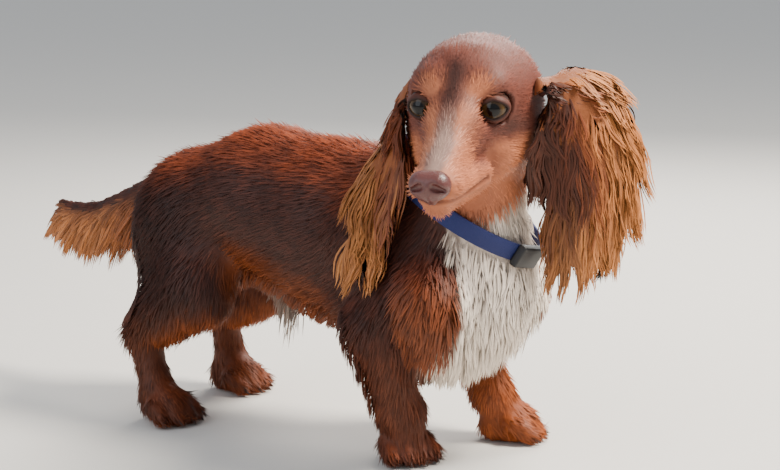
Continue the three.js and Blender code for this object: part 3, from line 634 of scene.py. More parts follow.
def markings(points: Array, normals: Array) -> dict[str, Array]:
    """The dog's coat pattern: where it is tan, white, dark or red, with painted sunlight, shade and
    highlight in it.

    Args:
        points: Points in dog millimetres.
        normals: The unit direction out of the coat at each.

    Returns:
        One value from 0 to 1 for each mark and point.
    """
    x, y, z = points.T
    forward, left, up = to_head(points)
    ragged = wander(points, 16, 3) * 4 + wander(points, 6, 4) * 2
    head = head_mask(points)
    side = np.abs(left)

    brow = np.exp(-(((forward - 4) / 7) ** 2 + ((side - 13.5) / 5.5) ** 2 + ((up - 12.5) / 5) ** 2))
    inner = np.exp(-(((side - 10) / 4) ** 2 + ((up + 1) / 6) ** 2)) * smooth(-8, 4, forward)
    flank = smooth(3.5, 7.5, side + ragged * 0.2)
    muzzle = smooth(10, 30, forward + ragged * 0.6) * flank
    cheek = smooth(-14, -24, up + ragged * 0.3) * smooth(14, 24, side + ragged * 0.4)
    cheek *= smooth(-46, -28, forward)
    jaw = smooth(-34, -42, up + ragged * 0.3)
    roan = smooth(0.25, 0.7, wander(points, 3.2, 15)) * smooth(20, 34, forward)
    face_tan = np.clip(brow * 1.5 + inner * 0.9 + muzzle * (1 - roan * 0.35) + cheek + jaw * 0.8, 0, 1)

    round_chest = np.degrees(np.arctan2(x, -(y + 40))) + ragged * 0.5
    edge = 41 - 22 * smooth(140, 165, z)
    breast = smooth(-33, -29, round_chest) * smooth(0, -4, round_chest - edge)
    breast *= smooth(-66, -76, y + ragged * 0.3) * smooth(46, 54, z + ragged)
    bar = np.exp(-(((x + 27) / 5) ** 2 + ((z - 72) / 5) ** 2)) * smooth(-70, -82, y)
    tuft = belly_tuft(points)
    # A painted highlight along the bridge of the muzzle, mixed into the white mark
    bridge_highlight = bump(side, 0, 5.5) * smooth(12, 30, forward) * smooth(-32, -20, up)
    white = np.clip((breast + bar * 1.3) * (1 - head) + tuft * 0.85 + bridge_highlight * 0.24 * head, 0, 1)

    # Tan on the lower legs: their own tan points, weaker on the right legs as painted shade and strongest on
    # the left foreleg as painted sunlight
    shin_tan_sun_shade = smooth(92, 50, z + ragged) * np.where(x < 0, 0.22, np.where(y > 40, 0.35, 0.85))
    belly = smooth(-0.15, -0.65, normals[:, 2]) * smooth(-30, 0, y) * smooth(150, 118, z + ragged)
    groin = bump(z, 98, 15) * bump(y, 66, 26) * smooth(48, 36, np.abs(x) + ragged * 0.5)
    upper_arm = smooth(-76, -84, y) * smooth(124, 112, z + ragged)
    upper_arm *= smooth(12, 20, np.abs(x)) * smooth(50, 66, z)
    body_tan = np.maximum(shin_tan_sun_shade, upper_arm * 0.42) + np.maximum(belly, groin) * 0.55
    body_tan = np.clip(body_tan, 0, 1) * (1 - white)

    # Red: the coat's own reddish tone on the back, with painted sunlight where the coat faces up
    red = smooth(0.35, 0.95, normals[:, 2] + ragged * 0.02) * (1 - head)
    red *= 0.75 + 0.25 * wander(points, 30, 8)
    haunch = smooth(60, 120, y + ragged * 2) * smooth(170, 140, z) * (1 - body_tan) * 0.6
    lash = np.exp(-(((side - 20.5) / 9) ** 2 + ((up + 1) / 7) ** 2)) * smooth(-16, -8, forward)
    patch = np.exp(-(((left - 27) / 7) ** 2 + ((up + 12) / 7) ** 2)) * smooth(-30, -16, forward)
    # stop is painted shade in the hollow between the eyes, laid on as a dark mark
    stop = bump(left + 1, 0, 6.5) * smooth(-14, -2, forward) * smooth(22, 12, forward) * smooth(-6, 2, up)
    on_face = np.maximum(lash * 0.6, np.maximum(patch * 0.55, stop * 0.8)) * (1 - brow)
    dark = np.clip(haunch + on_face * head, 0, 1)
    return {
        "tan": np.where(head > 0.5, face_tan, body_tan),
        "white": white,
        "dark": dark,
        "red": np.clip(red, 0, 1),
        "face": np.clip(head, 0, 1),
        "gold": np.zeros(len(points)),
    }


def linear(red: int, green: int, blue: int) -> tuple[float, float, float, float]:
    """A colour as it looks on a screen, turned into the light it stands for.

    Args:
        red: The red, from 0 to 255.
        green: The green.
        blue: The blue.

    Returns:
        The four numbers of an opaque colour.
    """
    curve = [((v / 255 + 0.055) / 1.055) ** 2.4 if v > 10 else v / 3294.6 for v in (red, green, blue)]
    return (*curve, 1.0)


@dataclass(frozen=True)
class CoatColours:
    """The colours of the coat, as the eye sees them."""

    chocolate: tuple[int, int, int] = (66, 32, 22)
    face: tuple[int, int, int] = (112, 62, 50)
    tan: tuple[int, int, int] = (160, 84, 40)
    muzzle: tuple[int, int, int] = (192, 118, 82)
    # White also carries a painted highlight on the muzzle's bridge
    white: tuple[int, int, int] = (240, 230, 218)
    # Dark also carries painted shade between the eyes and over the ears' fronts and inner faces
    dark: tuple[int, int, int] = (34, 15, 11)
    # Red also carries painted sunlight where the coat faces up
    red: tuple[int, int, int] = (134, 62, 32)
    # Gold also carries painted sunlight over the ears' back halves
    gold: tuple[int, int, int] = (222, 152, 88)


def new_material(name: str) -> tuple[bpy.types.Material, bpy.types.Node]:
    """A material with an empty Principled BSDF.

    Args:
        name: The finish's name.

    Returns:
        The material and its BSDF.
    """
    material = bpy.data.materials.new(name)
    material.use_nodes = True
    return material, material.node_tree.nodes["Principled BSDF"]


Source = bpy.types.NodeSocket | float | tuple[float, float, float, float]


def coat_group(colours: CoatColours) -> bpy.types.NodeTree:
    """The node group that turns the marks on a piece into its coat colour.

    Args:
        colours: The colours to mix.

    Returns:
        The group, with outputs Colour and Grain.
    """
    group = bpy.data.node_groups.new("coat_colour", "ShaderNodeTree")
    group.interface.new_socket("Colour", in_out="OUTPUT", socket_type="NodeSocketColor")
    group.interface.new_socket("Grain", in_out="OUTPUT", socket_type="NodeSocketFloat")
    for name, shade in asdict(colours).items():
        title = name.capitalize()
        socket = group.interface.new_socket(title, in_out="INPUT", socket_type="NodeSocketColor")
        socket.default_value = linear(*shade)
    given = group.nodes.new("NodeGroupInput")
    out = group.nodes.new("NodeGroupOutput")

    def mark(name: str) -> bpy.types.NodeSocket:
        """The socket that carries a stored mark."""
        node = group.nodes.new("ShaderNodeAttribute")
        node.attribute_name = name
        return node.outputs["Fac"]

    def mix(factor: Source, low: Source, high: Source, mode: str = "MIX") -> bpy.types.NodeSocket:
        """One colour mixed over another.

        Args:
            factor: How much of the second colour is used.
            low: The colour at factor 0.
            high: The colour at factor 1.
            mode: The way of mixing.

        Returns:
            The socket with the mixed colour.
        """
        node = group.nodes.new("ShaderNodeMix")
        node.data_type = "RGBA"
        node.blend_type = mode
        for slot, value in ((0, factor), (6, low), (7, high)):
            if isinstance(value, bpy.types.NodeSocket):
                group.links.new(value, node.inputs[slot])
            else:
                node.inputs[slot].default_value = value
        return node.outputs[2]

    base = mix(mark("face"), given.outputs["Chocolate"], given.outputs["Face"])
    for name in ("red", "dark"):
        base = mix(mark(name), base, given.outputs[name.capitalize()])
    base = mix(mark("tan"), base, mix(mark("face"), given.outputs["Tan"], given.outputs["Muzzle"]))
    for name in ("gold", "white"):
        base = mix(mark(name), base, given.outputs[name.capitalize()])
    place = group.nodes.new("ShaderNodeTexCoord")
    noise = group.nodes.new("ShaderNodeTexNoise")
    noise.inputs["Scale"].default_value = 420.0
    noise.inputs["Detail"].default_value = 3.0
    group.links.new(place.outputs["Object"], noise.inputs["Vector"])
    shades = (
        (mark("vary"), (0.5, 0.47, 0.45, 1), (1.36, 1.33, 1.3, 1)),
        (mark("tip"), (0.74, 0.70, 0.68, 1), (1.18, 1.16, 1.14, 1)),
        (noise.outputs["Fac"], (0.86, 0.85, 0.84, 1), (1.12, 1.12, 1.12, 1)),
    )
    for factor, low, high in shades:
        base = mix(1.0, base, mix(factor, low, high), "MULTIPLY")
    group.links.new(base, out.inputs["Colour"])
    group.links.new(noise.outputs["Fac"], out.inputs["Grain"])
    return group


# The gloss of coat and eyes, and how high the grain of hair and of other finishes stands, in metres
GLOSS = 0.28
HAIR_RELIEF, FINE_RELIEF = 0.0006, 0.0005


def add_relief(bsdf: bpy.types.Node, height: bpy.types.NodeSocket, strength: float, distance: float) -> None:
    """Raises a fine grain on a finish.

    Args:
        bsdf: The finish's BSDF.
        height: The socket with the height of the grain.
        strength: How strongly it shows.
        distance: How high it stands, in metres.
    """
    tree = bsdf.id_data
    rough = tree.nodes.new("ShaderNodeBump")
    rough.inputs["Strength"].default_value = strength
    rough.inputs["Distance"].default_value = distance
    tree.links.new(height, rough.inputs["Height"])
    tree.links.new(rough.outputs["Normal"], bsdf.inputs["Normal"])


@dataclass(frozen=True)
class CoatFinish:
    """The finish of skin or hair: the shared coat colours, with its own gloss and bump."""

    name: str
    roughness: float
    bump: float

    def make(self, group: bpy.types.NodeTree) -> bpy.types.Material:
        """Makes the finish.

        Args:
            group: The coat's node group.

        Returns:
            The material.
        """
        material, bsdf = new_material(self.name)
        tree = material.node_tree
        colour = tree.nodes.new("ShaderNodeGroup")
        colour.node_tree = group
        tree.links.new(colour.outputs["Colour"], bsdf.inputs["Base Color"])
        bsdf.inputs["Roughness"].default_value = self.roughness
        bsdf.inputs["Specular IOR Level"].default_value = GLOSS
        add_relief(bsdf, colour.outputs["Grain"], self.bump, HAIR_RELIEF)
        return material


@dataclass(frozen=True)
class PlainFinish:
    """A finish of one colour with a fine grain."""

    name: str
    colour: tuple[int, int, int]
    roughness: float
    grain: float = 0.0
    scale: float = 800.0
    coat: float = 0.0
    spread: float = 0.22

    def make(self) -> bpy.types.Material:
        """Makes the finish.

        Returns:
            The material.
        """
        material, bsdf = new_material(self.name)
        tree = material.node_tree
        noise = tree.nodes.new("ShaderNodeTexNoise")
        place = tree.nodes.new("ShaderNodeTexCoord")
        noise.inputs["Scale"].default_value = self.scale
        noise.inputs["Detail"].default_value = 4.0
        tree.links.new(place.outputs["Object"], noise.inputs["Vector"])
        ramp = tree.nodes.new("ShaderNodeMix")
        ramp.data_type = "RGBA"
        base = linear(*self.colour)
        for slot, level in ((6, 1 - self.spread), (7, 1 + self.spread)):
            ramp.inputs[slot].default_value = (*(v * level for v in base[:3]), 1.0)
        tree.links.new(noise.outputs["Fac"], ramp.inputs[0])
        tree.links.new(ramp.outputs[2], bsdf.inputs["Base Color"])
        bsdf.inputs["Roughness"].default_value = self.roughness
        bsdf.inputs["Coat Weight"].default_value = self.coat
        add_relief(bsdf, noise.outputs["Fac"], self.grain, FINE_RELIEF)
        return material


# How high hair stays over the ground: the middle line of a tuft, and every point of it
PATH_FLOOR, HAIR_FLOOR = 1.2, 0.1
# How flat a tuft is, how far along it neighbours are sought, and how many tufts are compared at once
FLATNESS = 0.45
LOOK_AHEAD = 6.0
BATCH = 2000


@dataclass
class Tufts:
    """Tapered, three-sided tufts of hair.

    Attributes:
        name: The piece's name.
        roots: Where each tuft starts on the skin.
        normals: The direction out of the skin there.
        ways: The direction in which each leaves its root.
        lengths: How long each is.
        widths: How wide each is.
        segments: How many straight parts a tuft has.
        fall: How much each part turns down.
        wave: How strongly the tips wave from side to side.
        wave_length: The length of one wave.
        clumps: How many locks the tufts gather into, 0 for none.
        gather: How closely a lock gathers, from 0 to 1.
        room: How far the tips stay off the body, 0 where they may touch it.
        sink: How deep the roots lie.
        soft: How much of the skin's own shading the tufts take.
        vary_size: Over how many millimetres the colour varies.
        vary_each: How much it varies from tuft to tuft.
    """

    name: str
    roots: Array
    normals: Array
    ways: Array
    lengths: Array
    widths: Array
    segments: int = 3
    fall: float | Array = 0.0
    wave: float = 0.0
    wave_length: float = 26.0
    clumps: int = 0
    gather: float = 0.5
    room: float = 0.3
    sink: float = 1.0
    soft: float = 0.6
    vary_size: float = 12.0
    vary_each: float = 0.18

    def paths(self) -> Array:
        """The middle line of every tuft.

        Returns:
            An array of tufts, stations and coordinates.
        """
        step = (self.lengths / self.segments)[:, None]
        at = self.roots - self.normals * self.sink
        way = self.ways.copy()
        line = [at]
        phase = wander(self.roots, 22, 11) * 3 + rng.normal(size=len(at)) * 0.35
        across = unit(np.cross(self.ways, self.normals))
        for k in range(self.segments):
            travelled = self.lengths * (k + 1) / self.segments
            turn = travelled / self.wave_length * 2 * math.pi + phase
            curl = self.wave * (k + 1) / self.segments * np.cos(turn)
            way = unit(way + DOWN * self.fall + across * curl[:, None])
            at = at + way * step
            if self.room > 0:
                at = COAT.clear(at, self.room * (0.5 + 0.5 * k / self.segments))
            at[:, 2] = np.maximum(at[:, 2], PATH_FLOOR)
            line.append(at)
        path = np.stack(line, 1)
        return self.gathered(path) if self.clumps else path

    def gathered(self, path: Array) -> Array:
        """Draws neighbouring tips together into locks.

        Args:
            path: The middle line of every tuft.

        Returns:
            The lines as they lie in the locks.
        """
        heads = rng.choice(len(path), self.clumps, replace=False)
        centres = path[heads]
        guess = self.roots + self.ways * LOOK_AHEAD
        target = centres[:, 0] + self.ways[heads] * LOOK_AHEAD
        nearest = np.empty(len(path), int)
        for start in range(0, len(path), BATCH):
            part = guess[start : start + BATCH, None] - target[None]
            nearest[start : start + BATCH] = (part**2).sum(2).argmin(1)
        pull = (np.linspace(0, 1, path.shape[1]) ** 1.3)[None, :, None] * self.gather
        return path + (centres[nearest] - path) * pull

    def hull(self, path: Array, tangent: Array) -> Array:
        """The points round every tuft.

        Args:
            path: The middle lines.
            tangent: Their directions.

        Returns:
            For each tuft, three points for each station but the last, and then the tip.
        """
        across = unit(np.cross(tangent, self.normals[:, None]))
        over = unit(np.cross(across, tangent))
        t = np.linspace(0, 1, path.shape[1])[:-1]
        fullness = np.sqrt(1 - t**1.6) * (0.7 + 0.5 * t)
        half = (self.widths[:, None] * fullness[None]) / 2
        rings = []
        for a in np.radians((90, 210, 330)):
            offset = across[:, :-1] * math.cos(a) + over[:, :-1] * math.sin(a) * FLATNESS
            rings.append(path[:, :-1] + offset * half[..., None])
        body = np.stack(rings, 2).reshape(len(path), -1, 3)
        points = np.concatenate([body, path[:, -1:]], 1)
        points[..., 2] = np.maximum(points[..., 2], HAIR_FLOOR)
        return points

    @staticmethod
    def faces(rings: int) -> Array:
        """The triangles of one tuft, closed at its root and at its tip.

        Args:
            rings: How many rings of three points come before the tip.

        Returns:
            Triangles of point numbers, facing outwards.
        """
        quads = ring_quads(rings, 3)
        last, tip = 3 * (rings - 1), 3 * rings
        end = [(last + j, last + (j + 1) % 3, tip) for j in range(3)]
        return np.vstack([[(2, 1, 0)], quads[:, [0, 1, 2]], quads[:, [0, 2, 3]], end])[:, ::-1]

    def mesh(self, material: bpy.types.Material, marks: Marks, uv: Array) -> bpy.types.Object:
        """Builds the piece.

        Args:
            material: Its finish.
            marks: One value for each tuft, or for all of them, for each mark.
            uv: Where each root lies on the skin's unwrap.

        Returns:
            The coat object, with its bake map.
        """
        path = self.paths()
        count, stations = path.shape[:2]
        tangent = unit(np.gradient(path, axis=1))
        points = self.hull(path, tangent)
        per = points.shape[1]
        every = (self.faces(stations - 1)[None] + (np.arange(count) * per)[:, None, None]).reshape(-1, 3)
        piece = new_mesh(self.name, points.reshape(-1, 3), every, material)
        vary = 0.5 + 0.3 * wander(self.roots, self.vary_size, 33) + self.vary_each * rng.normal(size=count)
        calm = (1 - 0.65 * marks["white"]) * (1 - 0.5 * marks["face"])
        marks = marks | {"vary": np.clip(0.5 + (vary - 0.5) * calm, 0, 1)}
        along = np.append(np.repeat(np.linspace(0, 1, stations)[:-1], 3), 1.0)
        paint(piece, {name: np.repeat(np.broadcast_to(value, count), per) for name, value in marks.items()})
        paint(piece, {"tip": np.tile(along, count)})
        self.bake_map(piece, uv, along, every)
        middle = np.concatenate([np.repeat(path[:, :-1], 3, 1), path[:, -1:] - tangent[:, -1:] * 0.1], 1)
        shade = unit(self.normals[:, None] * self.soft + (points - middle) / self.widths[:, None, None])
        piece.data.normals_split_custom_set_from_vertices(shade.reshape(-1, 3).astype(np.float32))
        return piece

    @staticmethod
    def bake_map(piece: bpy.types.Object, uv: Array, along: Array, faces: Array) -> None:
        """Gives each tuft a small patch of its own, at its root's place on the skin's unwrap.

        Args:
            piece: The coat object.
            uv: Where each root lies on the unwrap.
            along: How far along its tuft each point lies, from 0 to 1.
            faces: The triangles of the piece.
        """
        layer = piece.data.uv_layers.new(name="OFBake")
        lane = np.append(np.tile([0.0, 0.5, 1.0], len(along) // 3), 0.5)
        patch = np.stack([along - 0.5, lane - 0.5], 1) * BAKE_PATCH
        each = (uv[:, None] + patch[None]).reshape(-1, 2)
        layer.data.foreach_set("uv", each[faces.ravel()].astype(np.float32).ravel())


# The bake map: the size of a tuft's patch, how many cells lie across it, and the gap round each cell
BAKE_PATCH = 0.003
CELLS_ACROSS = 9
CELL_GAP = 0.06
FLAP_GAP = 0.04


def unwrap(points: Array) -> Array:
    """Each point's place on an unwrap of the body: one cell for each muscle, round and along it.

    Args:
        points: N points in millimetres.

    Returns:
        N places from 0 to 1 in both directions.
    """
    gaps = np.stack([m.distance(points) for m in COAT.muscles], 1)
    nearest = gaps.argmin(1)
    uv = np.zeros((len(points), 2))
    for i, m in enumerate(COAT.muscles):
        mine = nearest == i
        if not mine.any():
            continue
        axis = unit(m.end - m.start)
        side = unit(np.cross(axis, LEFT + 0.3 * UP))
        over = np.cross(axis, side)
        p = points[mine] - m.start
        reach = np.linalg.norm(m.end - m.start) + m.start_radius + m.end_radius
        along = np.clip((p @ axis + m.start_radius) / reach, 0, 1)
        turn = np.arctan2(p @ over, p @ side) / (2 * math.pi) + 0.5
        cell = np.array([i % CELLS_ACROSS, i // CELLS_ACROSS])
        uv[mine] = (cell + CELL_GAP + (1 - 2 * CELL_GAP) * np.stack([turn, along], 1)) / CELLS_ACROSS
    return uv


def ride(piece: bpy.types.Object, slot: str, *nodes: str) -> None:
    """Fixes a piece to the dog.

    Args:
        piece: The piece.
        slot: Not used.
        nodes: The nodes of the part that it stands for.
    """
    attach(piece, "root")
    if nodes:
        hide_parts(*nodes)
    log.info("%s: %d faces", piece.name, len(piece.data.polygons))


def select(piece: bpy.types.Object) -> None:
    """Makes a piece the active one, and the only one selected.

    Args:
        piece: The piece.
    """
    bpy.ops.object.select_all(action="DESELECT")
    piece.select_set(True)
    bpy.context.view_layer.objects.active = piece


def face_outwards(piece: bpy.types.Object) -> None:
    """Turns every face of a closed piece outwards.

    Args:
        piece: The piece.
    """
    select(piece)
    bpy.ops.object.mode_set(mode="EDIT")
    bpy.ops.mesh.select_all(action="SELECT")
    bpy.ops.mesh.normals_make_consistent(inside=False)
    bpy.ops.object.mode_set(mode="OBJECT")


def settle(piece: bpy.types.Object) -> None:
    """Moves an object's place, turn and size into its mesh."""
    select(piece)
    bpy.ops.object.transform_apply(location=True, rotation=True, scale=True)


def turned(across: Array, over: Array, ahead: Array) -> Matrix:
    """A turn that takes X, Y and Z to three directions."""
    return Matrix(np.stack([across, over, ahead], 1).tolist()).to_4x4()


def put(piece: bpy.types.Object, middle: Array, turn: Matrix) -> None:
    """Places a piece on the dog, turned, with its mesh in the part's frame."""
    piece.matrix_world = Matrix.Translation(Vector(placed(middle))) @ turn
    settle(piece)


def coords(piece: bpy.types.Object) -> Array:
    """The points of a piece's mesh.

    Args:
        piece: The piece.

    Returns:
        N points in metres.
    """
    flat = np.empty(len(piece.data.vertices) * 3)
    piece.data.vertices.foreach_get("co", flat)
    return flat.reshape(-1, 3)


@dataclass
class Skin:
    """The body's skin, just under the coat, with the line of the mouth pressed into it.

    Attributes:
        cell: The step of the grid that it is made on.
        mouth_depth: How deep the line of the mouth is.
        mouth_width: How wide it is.
        mouth_stain: How wide the dark line in it is.
        mouth_turn: The share of each half of the line that goes round the front.
        mouth_inset: How far under the coat's surface the line lies.
        mouth_reach: How far from its middle the skin is pressed in.
        fit: How far a point may move to lie on the finished surface.
        lowest: How high the lowest point lies over the ground.
    """

    cell: float = 2.6
    mouth_depth: float = 2.2
    mouth_width: float = 1.5
    mouth_stain: float = 1.9
    mouth_turn: float = 0.35
    mouth_inset: float = 0.9
    mouth_reach: float = 60.0
    fit: float = 1.5
    lowest: float = 0.2

    def mouth_path(self) -> Array:
        """The middle line of the closed mouth, from corner to corner.

        Returns:
            Points in millimetres.
        """
        line = []
        for t in np.linspace(-1, 1, 61):
            s, a = np.sign(t) or 1, abs(t)
            turn = min(a / self.mouth_turn, 1) * math.pi / 2
            back = max((a - self.mouth_turn) / (1 - self.mouth_turn), 0)
            inside = on_head(MUZZLE - 24 - (MUZZLE - 36) * back, 0, -38.5 + 2.5 * back)
            way = head_axis(math.cos(turn), s * math.sin(turn), 0)
            line.append(leave(inside, way, self.mouth_inset))
        return np.array(line)

    def build(self, material: bpy.types.Material) -> tuple[bpy.types.Object, Array, Array]:
        """Makes the skin.

        Args:
            material: Its finish.

        Returns:
            The piece, its points and its triangles, for rooting the coat.
        """
        sockets = [ball(eye_centre(s), EYE_RADIUS + 0.15, 0.8) for s in Side]
        body = Body(COAT.muscles, COAT.hollows + sockets)
        low, high = vec(-112, -172, -6), vec(82, 186, 262)
        points, quads = field_mesh(body, low, high, self.cell, coat_depth)
        corners = points[quads[:, 0]]
        piece = new_mesh("skin", points, quads, material)
        self.refine(piece, (to_head(corners)[0] > -30) & (head_mask(corners, 1.1) > 0.5))
        points = (coords(piece) - OFFSET) / MM
        d = body.depth(points) + coat_depth(points)
        points -= body.outward(points) * np.clip(d, -self.fit, self.fit)[:, None]
        points = self.with_mouth(points)
        points[:, 2] = np.maximum(points[:, 2], self.lowest)
        piece.data.vertices.foreach_set("co", placed(points).ravel())
        piece.data.update()
        marks = markings(points, COAT.outward(points))
        near = head_mask(points) > 0
        gap = np.linalg.norm(points[near][:, None] - self.mouth_path()[None], axis=2).min(1)
        stain = np.exp(-((gap / self.mouth_stain) ** 2))
        marks["dark"][near] = np.maximum(marks["dark"][near], stain)
        marks["tan"][near] *= 1 - stain
        paint(piece, marks | {"tip": 0.3, "vary": 0.4})
        piece.data.calc_loop_triangles()
        triangles = np.empty(len(piece.data.loop_triangles) * 3, np.int32)
        piece.data.loop_triangles.foreach_get("vertices", triangles)
        return piece, points, triangles.reshape(-1, 3)

    @staticmethod
    def refine(piece: bpy.types.Object, faces: Array) -> None:
        """Splits the marked faces in edit mode.

        Args:
            piece: The skin.
            faces: Which of its faces are split.
        """
        select(piece)
        piece.data.polygons.foreach_set("select", faces)
        bpy.ops.object.mode_set(mode="EDIT")
        bpy.ops.mesh.select_mode(type="FACE")
        bpy.ops.mesh.subdivide(number_cuts=1)
        bpy.ops.object.mode_set(mode="OBJECT")

    def with_mouth(self, points: Array) -> Array:
        """Presses the line of the mouth into the skin.

        Args:
            points: The skin's points.

        Returns:
            The points with the line.
        """
        line = self.mouth_path()
        near = np.linalg.norm(points - line.mean(0), axis=1) < self.mouth_reach
        gap = np.linalg.norm(points[near][:, None] - line[None], axis=2).min(1)
        press = self.mouth_depth * np.exp(-((gap / self.mouth_width) ** 2))
        points[near] -= COAT.outward(points[near]) * press[:, None]
        return points


def scatter(points: Array, triangles: Array, count: int) -> Array:
    """Random places on a mesh, evenly spread.

    Args:
        points: The mesh's points.
        triangles: Its triangles.
        count: How many places.

    Returns:
        The places, as points.
    """
    a, b, c = points[triangles].transpose(1, 0, 2)
    area = np.linalg.norm(np.cross(b - a, c - a), axis=1)
    share = np.cumsum(area) / area.sum()
    pick = np.searchsorted(share, (np.arange(count) + rng.uniform(size=count)) / count)
    pick = np.minimum(pick, len(triangles) - 1)
    u, v = rng.uniform(size=(2, count))
    over = u + v > 1
    u[over], v[over] = 1 - u[over], 1 - v[over]
    return a[pick] + (b - a)[pick] * u[:, None] + (c - a)[pick] * v[:, None]


@dataclass
class BodyCoat:
    """The coat over the body: short on the face and feet, longer on the chest, legs and belly.

    Attributes:
        material: Its finish.
        mouth: The line of the mouth, which stays free of hair.
        body_tufts: How many tufts the trunk and neck have.
        head_tufts: How many the head has.
        leg_tufts: How many the legs have.
        feather_tufts: How many the feathering has.
        leg_top: How high the patch of the legs reaches.
        mid_back: Where the trunk's two patches meet.
        eye_gap: How wide the bare ring round each eye is.
        nose_gap: How far from the nose's middle the hair starts.
        lip_gap: How far from the line of the mouth it starts.
        lip_stain: How wide the hair along the lips is dark.
        sole: How high the bare soles reach.
        long: How long hair has to be for the feathering.
        band: How far the bare band reaches below and above the collar's middle.
        wide_band: How far the band without feathering reaches.
    """

    material: bpy.types.Material
    mouth: Array
    body_tufts: int = 38000
    head_tufts: int = 17000
    leg_tufts: int = 13000
    feather_tufts: int = 7000
    leg_top: float = 62.0
    mid_back: float = 20.0
    eye_gap: float = 1.2
    nose_gap: float = 11.5
    lip_gap: float = 2.3
    lip_stain: float = 3.4
    sole: float = 1.2
    long: float = 9.0
    band: tuple[float, float] = (5.5, 5.5)
    wide_band: tuple[float, float] = (6.0, 12.0)

    def grow(self, points: Array, triangles: Array) -> None:
        """Grows every patch from the skin.

        Args:
            points: The skin's points.
            triangles: Its triangles.
        """
        middle = points[triangles].mean(1)
        eyes = np.min([np.linalg.norm(middle - eye_centre(s), axis=1) for s in Side], 0)
        nose = np.linalg.norm(middle - on_head(NOSE_FORWARD, 0, -29), axis=1)
        bare = (eyes < EYE_RADIUS + self.eye_gap) | (nose < self.nose_gap)
        bare |= (middle[:, 2] < self.sole) | (self.from_mouth(middle) < self.lip_gap)
        head = head_mask(middle, FACE_EDGE) > 0.5
        leg = ~head & (middle[:, 2] < self.leg_top)
        trunk = ~head & ~leg & ~self.collar_ring(middle, *self.band)
        rear = middle[:, 1] > self.mid_back
        patches = (
            ("coat_head", head & ~bare, self.head_tufts, 1.15),
            ("coat_back", trunk & rear, self.body_tufts // 2, 1.5),
            ("coat_front", trunk & ~rear, self.body_tufts // 2, 1.5),
            ("coat_legs", leg & ~bare, self.leg_tufts, 1.3),
        )
        for name, where, count, width in patches:
            self.finish(self.short(name, scatter(points, triangles[where], count), width))
        feathered = self.feather_length(middle, COAT.outward(middle)) > self.long
        feathered &= ~head & ~self.collar_ring(middle, *self.wide_band)
        self.finish(self.feathers(scatter(points, triangles[feathered], self.feather_tufts), 1.35))

    def from_mouth(self, points: Array) -> Array:
        """How far each point is from the line of the mouth."""
        return np.linalg.norm(points[:, None] - self.mouth[None], axis=2).min(1)

    @staticmethod
    def collar_ring(points: Array, below: float, above: float) -> Array:
        """Which points lie within a band round the neck.

        Args:
            points: N points in millimetres.
            below: How far the band reaches below the collar's middle.
            above: How far it reaches above.

        Returns:
            N truth values.
        """
        height = (points - COLLAR_POINT) @ COLLAR_NORMAL
        return (height > -below) & (height < above) & (points[:, 2] > 100)

    @staticmethod
    def feather_length(points: Array, normals: Array) -> Array:
        """How long the feathering grows.

        Args:
            points: N points in millimetres.
            normals: The direction out of the skin at each.

        Returns:
            N lengths, 0 where there is none.
        """
        _, y, z = points.T
        chest = smooth(0.2, 0.7, -normals[:, 1]) * smooth(50, 62, z) * smooth(160, 135, z)
        chest *= smooth(-62, -78, y)
        keel = smooth(-0.3, -0.8, normals[:, 2]) * smooth(-10, -40, y) * smooth(42, 50, z)
        arm = smooth(0.1, 0.6, normals[:, 1]) * bump(y, -45, 22) * smooth(24, 40, z) * smooth(104, 88, z)
        breech = smooth(0.2, 0.7, normals[:, 1]) * smooth(96, 118, y) * smooth(52, 68, z)
        breech *= smooth(130, 112, z)
        belly = smooth(-0.3, -0.8, normals[:, 2]) * smooth(-20, 0, y) * smooth(100, 80, y)
        return chest * 15 + keel * 13 + arm * 15 + breech * 15 + belly * 9.5 + belly_tuft(points) * 34

    def short(self, name: str, roots: Array, width: float) -> Tufts:
        """A patch of the short coat.

        Args:
            name: The piece's name.
            roots: Where its tufts start.
            width: How wide a tuft is.

        Returns:
            The tufts.
        """
        count = len(roots)
        normals = COAT.outward(roots)
        depth = coat_depth(roots)
        stray = rng.normal(size=(count, 3)) * 0.12
        near_lips = 0.45 + 0.55 * smooth(2, 7, self.from_mouth(roots))
        lengths = (3.0 + depth * 3.4) * rng.uniform(0.75, 1.2, count) * near_lips
        ways = unit(COAT.lie(roots, normals) + normals * (0.16 + 0.03 * depth[:, None]) + stray)
        widths = width * rng.uniform(0.7, 1.1, count)
        return Tufts(
            name, roots, normals, ways, lengths, widths, segments=2, fall=0.02, room=0.0, sink=0.8, soft=1.5,
        )

    def feathers(self, roots: Array, width: float) -> Tufts:
        """The long feathering of chest, keel, forelegs, breeches and belly.

        Args:
            roots: Where its tufts start.
            width: How wide a tuft is.

        Returns:
            The tufts.
        """
        count = len(roots)
        normals = COAT.outward(roots)
        stray = rng.normal(size=(count, 3)) * 0.12
        lengths = np.maximum(self.feather_length(roots, normals), 8) * rng.uniform(0.7, 1.1, count)
        tuft = belly_tuft(roots)[:, None]
        out = normals * (0.2 + 0.3 * tuft)
        ways = unit(COAT.lie(roots, normals) * 0.6 + DOWN * 0.5 + out - BACK * tuft * 0.5 + stray)
        return Tufts(
            "coat_feathers", roots, normals, ways, lengths, width * rng.uniform(0.7, 1.1, count),
            segments=5, fall=0.13, wave=0.16, clumps=max(count // 12, 4), gather=0.42, room=0.6, soft=1.1,
        )

    def finish(self, tufts: Tufts) -> None:
        """Builds a patch with the dog's markings on it.

        Args:
            tufts: The patch.
        """
        marks = markings(tufts.roots, tufts.normals)
        stain = np.exp(-((self.from_mouth(tufts.roots) / self.lip_stain) ** 2))
        marks["dark"] = np.maximum(marks["dark"], stain * 0.85)
        marks["tan"] *= 1 - stain * 0.8
        ride(tufts.mesh(self.material, marks, unwrap(tufts.roots)), "body_coat")


# The collar's plane
COLLAR_POINT = vec(0.8, -72.5, 157.5)
COLLAR_NORMAL = unit(vec(0.18, -0.5, 0.85))


